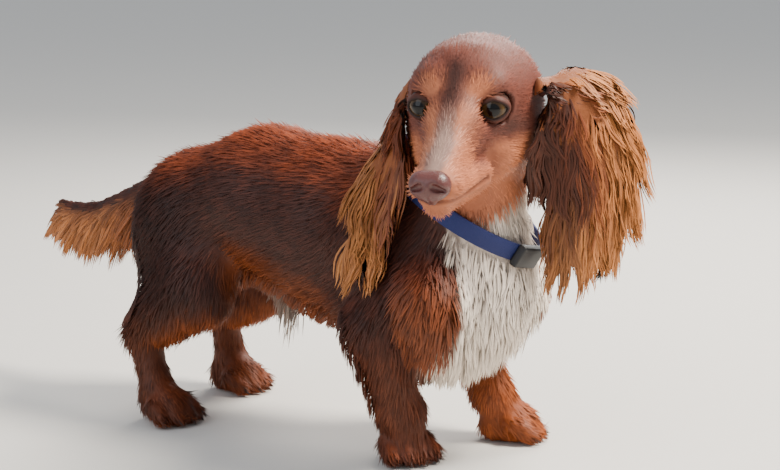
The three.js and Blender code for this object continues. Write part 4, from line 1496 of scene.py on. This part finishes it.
@dataclass
class Curve:
    """A smooth curve through a few points.

    Attributes:
        points: The points.
        grain: How many steps lie between two of them.
        reach: The share of its length over which a tangent is taken.
    """

    points: list[Array]
    grain: int = 16
    reach: float = 0.02

    def dense(self) -> Array:
        """Many points along the curve.

        Returns:
            Points from its start to its end.
        """
        knots = np.array(self.points)
        padded = np.vstack([2 * knots[0] - knots[1], knots, 2 * knots[-1] - knots[-2]])
        made = []
        for i in range(len(knots) - 1):
            a, b, c, d = padded[i : i + 4]
            bend, twist = 2 * a - 5 * b + 4 * c - d, 3 * b - 3 * c + d - a
            for u in np.linspace(0, 1, self.grain, endpoint=i == len(knots) - 2):
                made.append(0.5 * (2 * b + (c - a) * u + bend * u**2 + twist * u**3))
        return np.array(made)

    def at(self, t: Array) -> tuple[Array, Array]:
        """Places on the curve.

        Args:
            t: Fractions of its length.

        Returns:
            Points and tangents.
        """
        dense = self.dense()
        run = np.concatenate([[0], np.cumsum(np.linalg.norm(np.diff(dense, axis=0), axis=1))])
        run /= run[-1]
        here, after, before = (
            np.stack([np.interp(place, run, dense[:, i]) for i in range(3)], -1)
            for place in (t, np.clip(t + self.reach, 0, 1), np.clip(t - self.reach, 0, 1))
        )
        return here, unit(after - before)


@dataclass
class Ear:
    """A hanging ear: a thin cupped flap, with long wavy hair over both faces.

    Attributes:
        name: The node that it stands for.
        path: The middle line, from root to tip.
        spread: The direction from its front edge to its back edge.
        outward: The direction that its outer face looks.
        widths: Half its width, from root to tip.
        flare: How far the hair at its edges spreads.
        thick: Half the leather's thickness.
        cup: How far the edges curl in.
        rest: How far its middle line hangs off the head.
        shade: How dark the painted shade over its front edge is.
        rows: How many rings of points the leather has.
        around: How many points each ring has.
        front: How much wider the front half is than the back.
        hairs: How many tufts the outer face has.
        inner_hairs: How many the inner face has.
    """

    name: str
    path: list[Array]
    spread: Array
    outward: Array
    widths: list[float]
    flare: float
    thick: float = 1.7
    cup: float = 6.0
    rest: float = 7.0
    shade: float = 0.9
    rows: int = 26
    around: int = 26
    front: float = 1.0
    hairs: int = 3000
    inner_hairs: int = 1900

    def place(self, t: Array, u: Array) -> tuple[Array, Array]:
        """Places on the flap.

        Args:
            t: From its root, 0, to its tip, 1.
            u: From its front edge, -1, to its back edge, 1.

        Returns:
            Points, and rough directions out.
        """
        centre, tangent = Curve(self.path).at(t)
        spread = unit(self.spread - tangent * (tangent @ self.spread)[:, None])
        out = unit(np.cross(tangent, spread))
        out *= np.sign(out @ self.outward)[:, None]
        half = np.interp(t, np.linspace(0, 1, len(self.widths)), self.widths)
        half = half * np.where(u < 0, 1 + (self.front - 1) * (1 - 1.5 * smooth(0.4, 0.75, t)), 1.0)
        points = centre + spread * (u * half)[:, None] - out * (self.cup * u * u)[:, None]
        ripple = 1.6 * np.sin(u * 4 + t * 5) * t
        points = points + out * ripple[:, None]
        room = self.rest * np.minimum(t / 0.3, 1) * (0.3 + 0.7 * smooth(-1.0, 0.0, u))
        for _ in range(3):
            points = COAT.clear(points, room)
        return points, out

    def surface(self, t: Array, u: Array) -> tuple[Array, Array, Array, Array]:
        """The flap as it hangs.

        Args:
            t: From its root, 0, to its tip, 1.
            u: From its front edge, -1, to its back edge, 1.

        Returns:
            Points, and their true tangents, directions across and directions out.
        """
        step = 0.03
        points, out = self.place(t, u)
        tangent = unit(self.place(np.minimum(t + step, 1), u)[0] - self.place(np.maximum(t - step, 0), u)[0])
        spread = unit(self.place(t, u + step)[0] - self.place(t, u - step)[0])
        true_out = unit(np.cross(tangent, spread))
        true_out *= np.where((true_out * out).sum(1, keepdims=True) < 0, -1, 1)
        return points, tangent, spread, true_out

    def flap(self, material: bpy.types.Material) -> None:
        """Makes the leather of the ear.

        Args:
            material: Its finish.
        """
        t = np.repeat(np.linspace(0, 0.97, self.rows), self.around)
        angle = np.tile(np.arange(self.around) / self.around * 2 * math.pi, self.rows)
        points, out = self.place(t, np.cos(angle))
        taper = np.where(t > 0.95, 0.4, 1.0)
        points = points + out * (np.sin(angle) * self.thick * taper)[:, None]
        piece = new_mesh(f"{self.name}_leather", *tube(points, self.rows, self.around), material)
        face_outwards(piece)
        paint(piece, {
            "tan": 0.4, "white": 0.0, "dark": 0.1, "red": 0.5, "face": 0.0, "gold": 0.15,
            "tip": 0.4, "vary": 0.4,
        })
        ride(piece, "ear_coat", self.name)

    def hair(self, material: bpy.types.Material) -> None:
        """Grows the long hair over the outer and inner faces.

        Args:
            material: Its finish.
        """
        for face, sign in (("outer", 1), ("inner", -1)):
            n = self.hairs if sign > 0 else self.inner_hairs
            t = 0.01 + 0.98 * rng.uniform(size=n)
            u = rng.uniform(-1, 1, n)
            u = np.sign(u) * np.abs(u) ** 0.8
            roots, tangent, spread, out = self.surface(t, u)
            lift = (0.1 + 0.1 * smooth(0.4, 0.15, t))[:, None]
            normals = unit(out * sign + spread * u[:, None] * 0.35)
            stray = rng.normal(size=(n, 3)) * 0.09
            ways = unit(tangent + spread * (u * self.flare)[:, None] + normals * lift + stray)
            ways[:, 2] = np.minimum(ways[:, 2], -0.05)
            lengths = (9 + 37 * np.minimum(t / 0.5, 1)) * rng.uniform(0.6, 1.12, n)
            lengths *= 1.0 if sign > 0 else 0.8
            tufts = Tufts(
                f"{self.name}_hair_{face}", roots, normals, unit(ways), lengths, rng.uniform(1.1, 2.1, n),
                segments=8, fall=0.03 + 0.05 * smooth(0.1, 0.4, t)[:, None], wave=0.45, wave_length=32,
                clumps=n // 22, gather=0.6, room=2.0, sink=0.4, soft=1.3, vary_size=10.0,
            )
            marks = self.marks(roots, t, u, sign)
            ride(tufts.mesh(material, marks, self.bake_place(t, u, sign)), "ear_coat")

    def marks(self, roots: Array, t: Array, u: Array, sign: int) -> Marks:
        """The colours of the ear's hair: painted shade in front and over the inner face, painted sunlight in
        gold at the back, and reddish gold at the tips.

        Args:
            roots: Where its tufts start.
            t: How far down the flap each starts.
            u: How far across.
            sign: 1 for the outer face, -1 for the inner.

        Returns:
            The marks.
        """
        patchy = 0.16 * wander(roots, 14, 21)
        # Painted sunlight: gold over the back half of the outer face
        painted_sun = smooth(-0.2, 0.5, u + patchy) * 0.45
        gold = np.maximum(smooth(0.45, 1.0, t + patchy) * 0.6, painted_sun) * (1.0 if sign > 0 else 0.5)
        # Painted shade: dark over the front half, and over the inner face most near the root
        shade = self.shade * smooth(0.1, -0.4, u + patchy) * (1 - 0.3 * t)
        dark = np.clip(shade if sign > 0 else np.maximum(shade, 0.8 - 0.5 * t), 0, 1)
        gold = np.clip(gold * (1 - dark * 0.7), 0, 1)
        return {"tan": 0.4 * (1 - dark), "white": 0.0, "dark": dark, "red": 0.5, "face": 0.0, "gold": gold}

    @staticmethod
    def bake_place(t: Array, u: Array, sign: int) -> Array:
        """Each root's place on the flap laid out flat, the inner face beside the outer.

        Args:
            t: How far down the flap each root is.
            u: How far across.
            sign: 1 for the outer face, -1 for the inner.

        Returns:
            Places on the unwrap.
        """
        beside = 0.5 if sign < 0 else 0
        return np.stack([FLAP_GAP + 0.44 * (u + 1) / 2 + beside, FLAP_GAP + 0.92 * t], 1)


EARS = [
    Ear(
        "ear_left",
        [
            on_head(-42, 35, 7), on_head(-44, 49, 6), on_head(-45, 62, -12), on_head(-45, 66, -44),
            on_head(-44, 63, -78),
        ],
        head_axis(-0.62, 0.78, 0), head_axis(0.3, 1, 0.9), [9, 24, 29, 28, 21], 0.26, front=1.35,
    ),
    Ear(
        "ear_right",
        [
            on_head(-38, -33, 5), on_head(-38, -41, -1), on_head(-33, -46, -24), on_head(-22, -50, -50),
            on_head(-10, -53, -76),
        ],
        head_axis(-0.95, -0.3, 0), head_axis(0.3, -1, 0.9), [9, 15, 18, 19, 15], 0.1, shade=0.5,
    ),
]
TAIL_LINE = [
    vec(0, 146, 141), vec(0, 162, 138), vec(3, 192, 128), vec(6, 220, 119), vec(8, 244, 116),
    vec(11, 264, 118),
]


@dataclass
class Tail:
    """The tail: a tapered dock with a plume under it.

    Attributes:
        radii: Its radius with the short coat, from root to tip.
        skin_depth: How far the skin lies under that.
        rows: How many rings of points the dock has.
        around: How many points each ring has.
        hairs: How many tufts the plume has.
    """

    radii: tuple[float, ...] = (13, 12, 10.5, 9, 7.5, 4.5)
    skin_depth: float = 3.0
    rows: int = 40
    around: int = 24
    hairs: int = 4700

    def ring(self, t: Array, angle: Array) -> tuple[Array, Array, Array]:
        """Places round the dock.

        Args:
            t: From its root, 0, to its tip, 1.
            angle: The angle round it.

        Returns:
            Points, tangents and directions out.
        """
        centre, tangent = Curve(TAIL_LINE).at(t)
        side = unit(np.cross(tangent, UP))
        top = np.cross(side, tangent)
        way = side * np.cos(angle)[:, None] + top * np.sin(angle)[:, None]
        radius = np.interp(t, np.linspace(0, 1, len(self.radii)), self.radii) - self.skin_depth
        return centre + way * radius[:, None], tangent, way

    def build(self, material: bpy.types.Material, coat: bpy.types.Material) -> None:
        """Makes the dock and grows its hair.

        Args:
            material: The dock's finish.
            coat: The hair's finish.
        """
        t = np.repeat(np.linspace(0, 0.98, self.rows), self.around)
        angle = np.tile(np.arange(self.around) / self.around * 2 * math.pi, self.rows)
        points, _, _ = self.ring(t, angle)
        piece = new_mesh("tail_dock", *tube(points, self.rows, self.around), material)
        face_outwards(piece)
        paint(piece, {
            "tan": 0.0, "white": 0.0, "dark": 0.4, "red": 0.0, "face": 0.0, "gold": 0.0,
            "tip": 0.3, "vary": 0.4,
        })
        ride(piece, "tail_coat", "tail")
        self.plume(coat)

    def plume(self, coat: bpy.types.Material) -> None:
        """Grows the plume: long under the dock, short on top.

        Args:
            coat: Its finish.
        """
        n = self.hairs
        t = rng.uniform(0.04, 1, n)
        angle = rng.uniform(0, 2 * math.pi, n)
        roots, tangent, way = self.ring(t, angle)
        under = smooth(0.35, -0.5, way[:, 2])
        lengths = (9 + under * (42 - 16 * t) * smooth(0.0, 0.25, t)) * rng.uniform(0.5, 1.12, n)
        ways = tangent * (1.0 - 0.2 * under[:, None]) + DOWN * (0.75 * under)[:, None] + way * 0.2
        ways = unit(ways + rng.normal(size=(n, 3)) * 0.08)
        tufts = Tufts(
            "tail_plume", roots, way, ways, lengths, rng.uniform(1.1, 2.0, n), segments=6, fall=0.05,
            wave=0.14, clumps=n // 24, gather=0.5, room=0.0, sink=0.8, soft=0.9,
        )
        marks = {
            "tan": under * 0.6, "white": 0.0, "dark": (1 - under) * 0.55, "red": (1 - under) * 0.25,
            "face": 0.0, "gold": under * 0.35 * smooth(0.0, 0.6, t),
        }
        uv = FLAP_GAP + 0.92 * np.stack([angle / (2 * math.pi), t], 1)
        ride(tufts.mesh(coat, marks, uv), "tail_coat")


# The lids' section, from the opening outwards: the angle past the opening and the height in lid
# thicknesses, and how dark each line of it is
LID_SECTION = [
    (0.0, -0.5), (0.0, 0.35), (0.05, 0.95), (0.14, 1.15), (0.3, 1.0), (0.52, 0.3), (0.62, -0.6), (0.3, -0.6),
]
LID_DARK = (1, 1, 0.9, 0.6, 0.3, 0.2, 0.2, 1)
LID_GAP = 0.15
# A mark beyond the iris and the white, for the back of the eyeball
BEHIND = 20.0


@dataclass
class Eyes:
    """Eyeballs with hazel irises, and the lids round them.

    Attributes:
        iris: The iris's radius.
        pupil: The pupil's radius.
        bulge: How far the clear front stands out.
        open_width: The width of the opening between the lids.
        open_height: Its height.
        lid_thick: How thick the lids are.
        around: How many points each line of the lids has.
    """

    iris: float = 7.0
    pupil: float = 3.6
    bulge: float = 0.7
    open_width: float = 14.6
    open_height: float = 10.2
    lid_thick: float = 0.9
    around: int = 56

    def build(self, ball_finish: bpy.types.Material, rim: bpy.types.Material) -> None:
        """Makes both eyes with their lids.

        Args:
            ball_finish: The eyeballs' finish.
            rim: The lids' finish.
        """
        for side in Side:
            name = f"eye_{side.name.lower()}"
            gaze = head_axis(0.97, side.value * 0.2, 0.0)
            across = unit(np.cross(HEAD_UP, gaze))
            over = np.cross(gaze, across)
            bpy.ops.object.select_all(action="DESELECT")
            bpy.ops.mesh.primitive_uv_sphere_add(segments=64, ring_count=48, radius=EYE_RADIUS * MM)
            piece = bpy.context.object
            piece.name = f"{name}_ball"
            self.shape_cornea(piece)
            put(piece, eye_centre(side), turned(across, over, gaze))
            bpy.ops.object.shade_smooth()
            piece.data.materials.append(ball_finish)
            ride(piece, "eye", name)
            self.lids(side, across, over, gaze, rim)

    def shape_cornea(self, piece: bpy.types.Object) -> None:
        """Raises the clear front of the eye and marks how far each point is from its middle.

        Args:
            piece: The eyeball, facing up.
        """
        p = coords(piece) / MM
        off = np.hypot(p[:, 0], p[:, 1])
        front = p[:, 2] > 0
        p[front, 2] += self.bulge * np.exp(-((off[front] / (self.iris * 0.8)) ** 2))
        piece.data.vertices.foreach_set("co", (p * MM).ravel())
        paint(piece, {"off_axis": np.where(front, off, BEHIND)})

    def opening(self, angle: Array) -> Array:
        """The half-width of the almond opening in each direction round the gaze.

        Args:
            angle: The directions.

        Returns:
            A half-width for each.
        """
        c, s = np.cos(angle), np.sin(angle)
        wide, high = self.open_width / 2, self.open_height / 2
        lid = np.where(s > 0, high * 0.88, high * 0.95)
        almond = 1 / np.sqrt((c / wide) ** 2 + (s / lid) ** 2)
        return almond * (1 - 0.10 * np.abs(np.sin(2 * angle)))

    def lids(self, side: Side, across: Array, over: Array, gaze: Array, rim: bpy.types.Material) -> None:
        """Makes the ring of lids that closes round an eye.

        Args:
            side: Which eye.
            across: The direction across it.
            over: The direction up.
            gaze: The direction that it looks.
            rim: The lids' finish.
        """
        centre = eye_centre(side)
        angle = np.arange(self.around) / self.around * 2 * math.pi
        inner = np.arcsin(np.clip(self.opening(angle) / EYE_RADIUS, 0, 0.97))
        way = across * np.cos(angle)[:, None] + over * np.sin(angle)[:, None]
        rings = []
        for turn_by, out in LID_SECTION:
            polar = inner + turn_by
            radius = EYE_RADIUS + LID_GAP + out * self.lid_thick
            rings.append(centre + (gaze * np.cos(polar)[:, None] + way * np.sin(polar)[:, None]) * radius)
        points = np.concatenate(rings)
        quads = ring_quads(len(LID_SECTION), self.around, closed=True)
        piece = new_mesh(f"lids_{side.name.lower()}", points, quads, rim)
        face_outwards(piece)
        marks = markings(points, COAT.outward(points))
        marks["dark"] = np.repeat(LID_DARK, self.around)
        marks["tan"] *= 0.5
        paint(piece, marks | {"tip": 0.3, "vary": 0.4})
        ride(piece, "face_coat")


# The widest distance from the gaze that the eye's colours are spread over
EYE_SPAN = 10.0


def eye_finish(eyes: Eyes) -> bpy.types.Material:
    """The wet eye: a dark pupil in a hazel iris, and a brown white round it.

    Args:
        eyes: The eyes, for the sizes of iris and pupil.

    Returns:
        The material.
    """
    material, bsdf = new_material("eye_wet")
    tree = material.node_tree
    off = tree.nodes.new("ShaderNodeAttribute")
    off.attribute_name = "off_axis"
    ramp = tree.nodes.new("ShaderNodeValToRGB")
    scaled = tree.nodes.new("ShaderNodeMapRange")
    scaled.inputs["From Max"].default_value = EYE_SPAN
    tree.links.new(off.outputs["Fac"], scaled.inputs["Value"])
    tree.links.new(scaled.outputs["Result"], ramp.inputs["Fac"])
    pupil, iris = eyes.pupil / EYE_SPAN, eyes.iris / EYE_SPAN
    first, *between, last = [
        (pupil - 0.02, (6, 4, 4)),
        (pupil + 0.01, (40, 26, 12)),
        (iris - 0.14, (78, 56, 28)),
        (iris - 0.04, (40, 26, 14)),
        (iris + 0.03, (22, 13, 10)),
        (0.82, (60, 42, 36)),
    ]
    stops = ramp.color_ramp.elements
    for stop, (position, shade) in zip(stops, (first, last), strict=True):
        stop.position = position
        stop.color = linear(*shade)
    for position, shade in between:
        stops.new(position).color = linear(*shade)
    tree.links.new(ramp.outputs["Color"], bsdf.inputs["Base Color"])
    bsdf.inputs["Roughness"].default_value = 0.1
    bsdf.inputs["Specular IOR Level"].default_value = GLOSS
    return material


def build_nose(finish: bpy.types.Material) -> None:
    """Makes the nose leather, with its nostrils and the groove below.

    Args:
        finish: Its finish.
    """
    centre, reach, cell = on_head(NOSE_FORWARD, 0, -30), 20, 0.75
    points, quads = field_mesh(NOSE, centre - reach, centre + reach, cell, lambda p: np.zeros(len(p)))
    _, left, up = to_head(points)
    press = 0.7 * np.exp(-((left / 0.6) ** 2)) * smooth(-26, -31, up)
    points = points - NOSE.outward(points) * press[:, None]
    ride(new_mesh("nose_pad", points, quads, finish), "nose_leather", "nose")


@dataclass
class Claws:
    """A curved claw at the end of each toe.

    Attributes:
        finish: Their finish.
        length: A claw's length.
        radius: Its radius at the toe.
        point: Its radius at the tip.
        curve: How strongly it curves, per metre.
        start: How far its middle lies beyond the toe's tip.
    """

    finish: bpy.types.Material
    length: float = 9.0
    radius: float = 1.9
    point: float = 0.25
    curve: float = 22.0
    start: float = 5.4

    def build(self) -> None:
        """Makes the claws of all four paws."""
        for leg in LEGS:
            for i, (_, tip, beyond) in enumerate(leg.toes()):
                self.claw(leg, i + 1, tip, unit(beyond - tip))

    def claw(self, leg: Leg, number: int, tip: Array, way: Array) -> None:
        """Makes one claw.

        Args:
            leg: Its leg.
            number: Which toe.
            tip: The toe's tip.
            way: The claw's direction.
        """
        bpy.ops.object.select_all(action="DESELECT")
        bpy.ops.mesh.primitive_cone_add(
            vertices=12, radius1=self.radius * MM, radius2=self.point * MM, depth=self.length * MM,
        )
        piece = bpy.context.object
        bpy.ops.object.mode_set(mode="EDIT")
        bpy.ops.mesh.select_all(action="SELECT")
        bpy.ops.mesh.subdivide(number_cuts=2)
        bpy.ops.object.mode_set(mode="OBJECT")
        for v in piece.data.vertices:
            v.co.y -= self.curve * (v.co.z + self.length * MM / 2) ** 2
        piece.name = f"claw_{leg.name}_{number}"
        side = unit(np.cross(way, UP))
        put(piece, tip + way * self.start, turned(side, np.cross(side, way), way))
        bpy.ops.object.shade_smooth()
        piece.data.materials.append(self.finish)
        face_outwards(piece)
        place = "fore" if leg.fore else "hind"
        ride(piece, "claw", f"claw_{place}_{leg.side.name.lower()}_{number}")


@dataclass
class Collar:
    """A woven collar round the neck, with a black clip.

    Attributes:
        width: The band's width.
        thick: Its thickness.
        clear: How far it lies off the surface of the neck.
        chamfer: How far its edges are cut, across and along.
        steps: How many sections it has.
        clip: The clip's width, depth and height.
        clip_gap: How far the clip lies off the surface.
        clip_edge: How round its edges are.
        clip_way: The direction from the collar's middle to the clip.
    """

    width: float = 10.5
    thick: float = 2.2
    clear: float = 1.0
    chamfer: tuple[float, float] = (0.5, 0.8)
    steps: int = 96
    clip: tuple[float, float, float] = (22.0, 5.4, 13.5)
    clip_gap: float = 1.4
    clip_edge: float = 1.2
    clip_way: tuple[float, float, float] = (0.05, -1, 0)

    def build(self, web: bpy.types.Material, finish: bpy.types.Material) -> None:
        """Makes the band and its clip.

        Args:
            web: The band's finish.
            finish: The clip's finish.
        """
        ahead = unit(np.cross(COLLAR_NORMAL, LEFT))
        aside = np.cross(ahead, COLLAR_NORMAL)
        h, near, far = self.width / 2, self.clear, self.clear + self.thick
        cut, fold = self.chamfer
        section = [(near, -h), (far - cut, -h), (far, -h + fold), (far, h - fold), (far - cut, h), (near, h)]
        points = []
        for a in np.arange(self.steps) / self.steps * 2 * math.pi:
            way = ahead * math.cos(a) + aside * math.sin(a)
            skin = leave(COLLAR_POINT, way)
            points += [skin + way * out + COLLAR_NORMAL * up for out, up in section]
        quads = ring_quads(self.steps, len(section), closed=True)
        piece = new_mesh("collar_band", np.array(points), quads, web)
        face_outwards(piece)
        bpy.ops.object.shade_smooth_by_angle(angle=math.radians(40))
        ride(piece, "collar_web", "collar")
        self.build_clip(finish)

    def build_clip(self, finish: bpy.types.Material) -> None:
        """Makes the moulded clip where the two ends meet.

        Args:
            finish: Its finish.
        """
        way = vec(*self.clip_way)
        way = unit(way - COLLAR_NORMAL * (way @ COLLAR_NORMAL))
        across = unit(np.cross(COLLAR_NORMAL, way))
        bpy.ops.object.select_all(action="DESELECT")
        bpy.ops.mesh.primitive_cube_add(size=1)
        piece = bpy.context.object
        piece.name = "collar_clip"
        piece.scale = [v * MM for v in self.clip]
        settle(piece)
        bpy.ops.object.mode_set(mode="EDIT")
        bpy.ops.mesh.select_all(action="SELECT")
        bpy.ops.mesh.bevel(offset=self.clip_edge * MM, segments=3)
        bpy.ops.object.mode_set(mode="OBJECT")
        middle = leave(COLLAR_POINT, way) + way * (self.clip[1] / 2 + self.clip_gap)
        put(piece, middle, turned(across, way, np.cross(across, way)))
        bpy.ops.object.shade_smooth_by_angle(angle=math.radians(35))
        piece.data.materials.append(finish)
        ride(piece, "buckle", "collar_buckle")


@dataclass(frozen=True)
class Lamp:
    """A soft square light: its place right, up and behind of the dog as the camera sees it."""

    name: str
    right: float
    up: float
    behind: float
    size: float
    power: float
    colour: tuple[float, float, float]


LAMPS = (
    Lamp("key", 850, 1150, -150, 0.5, 58, (1.0, 0.93, 0.82)),
    Lamp("rim", 300, 900, 1000, 0.7, 18, (1.0, 0.95, 0.88)),
    Lamp("fill", -1100, 500, -900, 1.2, 9, (0.9, 0.94, 1.0)),
)


@dataclass
class Studio:
    """The camera, the pale floor and the soft lights.

    Attributes:
        azimuth: The camera's angle round the dog, in degrees.
        elevation: Its angle over the ground.
        distance: How far from the target it stands.
        lens: Its focal length.
        target: The point that it looks at.
        clip: The nearest and farthest distance that it sees, in metres.
        floor_size: The floor's width in metres.
        sky: The colour of the light from all round.
        sky_power: Its strength.
    """

    azimuth: float = -52.05
    elevation: float = 9.5
    distance: float = 1300.0
    lens: float = 99.06
    target: tuple[float, float, float] = (11.1, -18.8, 124.7)
    clip: tuple[float, float] = (0.05, 60.0)
    floor_size: float = 60.0
    sky: tuple[float, float, float, float] = (0.86, 0.92, 1.0, 1)
    sky_power: float = 0.7

    def axes(self) -> tuple[Array, Array, Array]:
        """How the camera is turned.

        Returns:
            Its right, up and backward directions.
        """
        a, e = math.radians(self.azimuth), math.radians(self.elevation)
        back = vec(math.sin(a) * math.cos(e), -math.cos(a) * math.cos(e), math.sin(e))
        right = vec(math.cos(a), math.sin(a), 0)
        return right, np.cross(back, right), back

    def build(self) -> None:
        """Places the camera, the floor and the lights."""
        right, up, back = self.axes()
        centre = vec(*self.target)
        data = bpy.data.cameras.new("camera")
        data.lens, data.sensor_width = self.lens, 36.0
        data.clip_start, data.clip_end = self.clip
        camera = bpy.data.objects.new("camera", data)
        bpy.context.collection.objects.link(camera)
        eye = placed(centre + back * self.distance)
        camera.matrix_world = Matrix.Translation(Vector(eye)) @ turned(right, up, back)
        bpy.context.scene.camera = camera
        bpy.ops.object.select_all(action="DESELECT")
        bpy.ops.mesh.primitive_plane_add(size=self.floor_size)
        floor = bpy.context.object
        floor.name = "floor"
        pale = PlainFinish("pale_floor", (216, 212, 206), 1.0, scale=40.0, spread=0.01)
        floor.data.materials.append(pale.make())
        world = bpy.data.worlds.new("studio")
        bpy.context.scene.world = world
        world.use_nodes = True
        world.node_tree.nodes["Background"].inputs["Color"].default_value = self.sky
        world.node_tree.nodes["Background"].inputs["Strength"].default_value = self.sky_power
        for lamp in LAMPS:
            self.light(lamp, centre + right * lamp.right + UP * lamp.up - back * lamp.behind, centre)

    @staticmethod
    def light(lamp: Lamp, at: Array, aim: Array) -> None:
        """Adds a light that faces a point.

        Args:
            lamp: Which light.
            at: Its place, in dog millimetres.
            aim: The point that it faces.
        """
        data = bpy.data.lights.new(lamp.name, "AREA")
        data.energy, data.size, data.color = lamp.power, lamp.size, lamp.colour
        made = bpy.data.objects.new(lamp.name, data)
        bpy.context.collection.objects.link(made)
        made.location = placed(at)
        made.rotation_euler = Vector(aim - at).to_track_quat("-Z", "Y").to_euler()


FLESH = ["torso", "neck", "head"]
LIMBS = ("foreleg", "forepaw", "hindleg", "hindpaw")
FLESH += [f"{limb}_{side.name.lower()}" for limb in LIMBS for side in Side]


def main() -> None:
    """Builds the dog and the studio."""
    Studio().build()
    group = coat_group(CoatColours())
    skin_finish = CoatFinish("skin_under_coat", 0.6, 0.5).make(group)
    coat_finish = CoatFinish("hair", 0.52, 0.1).make(group)
    skin, points, triangles = Skin().build(skin_finish)
    ride(skin, "body_coat", *FLESH)
    BodyCoat(coat_finish, Skin().mouth_path()).grow(points, triangles)
    for ear in EARS:
        ear.flap(skin_finish)
        ear.hair(coat_finish)
    Tail().build(skin_finish, coat_finish)
    eyes = Eyes()
    eyes.build(eye_finish(eyes), skin_finish)
    build_nose(PlainFinish("nose_skin", (86, 44, 40), 0.38, 0.6, 900.0, 0.1).make())
    Claws(PlainFinish("claw_horn", (58, 42, 36), 0.4).make()).build()
    Collar().build(
        PlainFinish("blue_web", (15, 28, 84), 0.75, 0.8, 1400.0).make(),
        PlainFinish("black_clip", (14, 14, 17), 0.55).make(),
    )


if __name__ == "__main__":
    main()
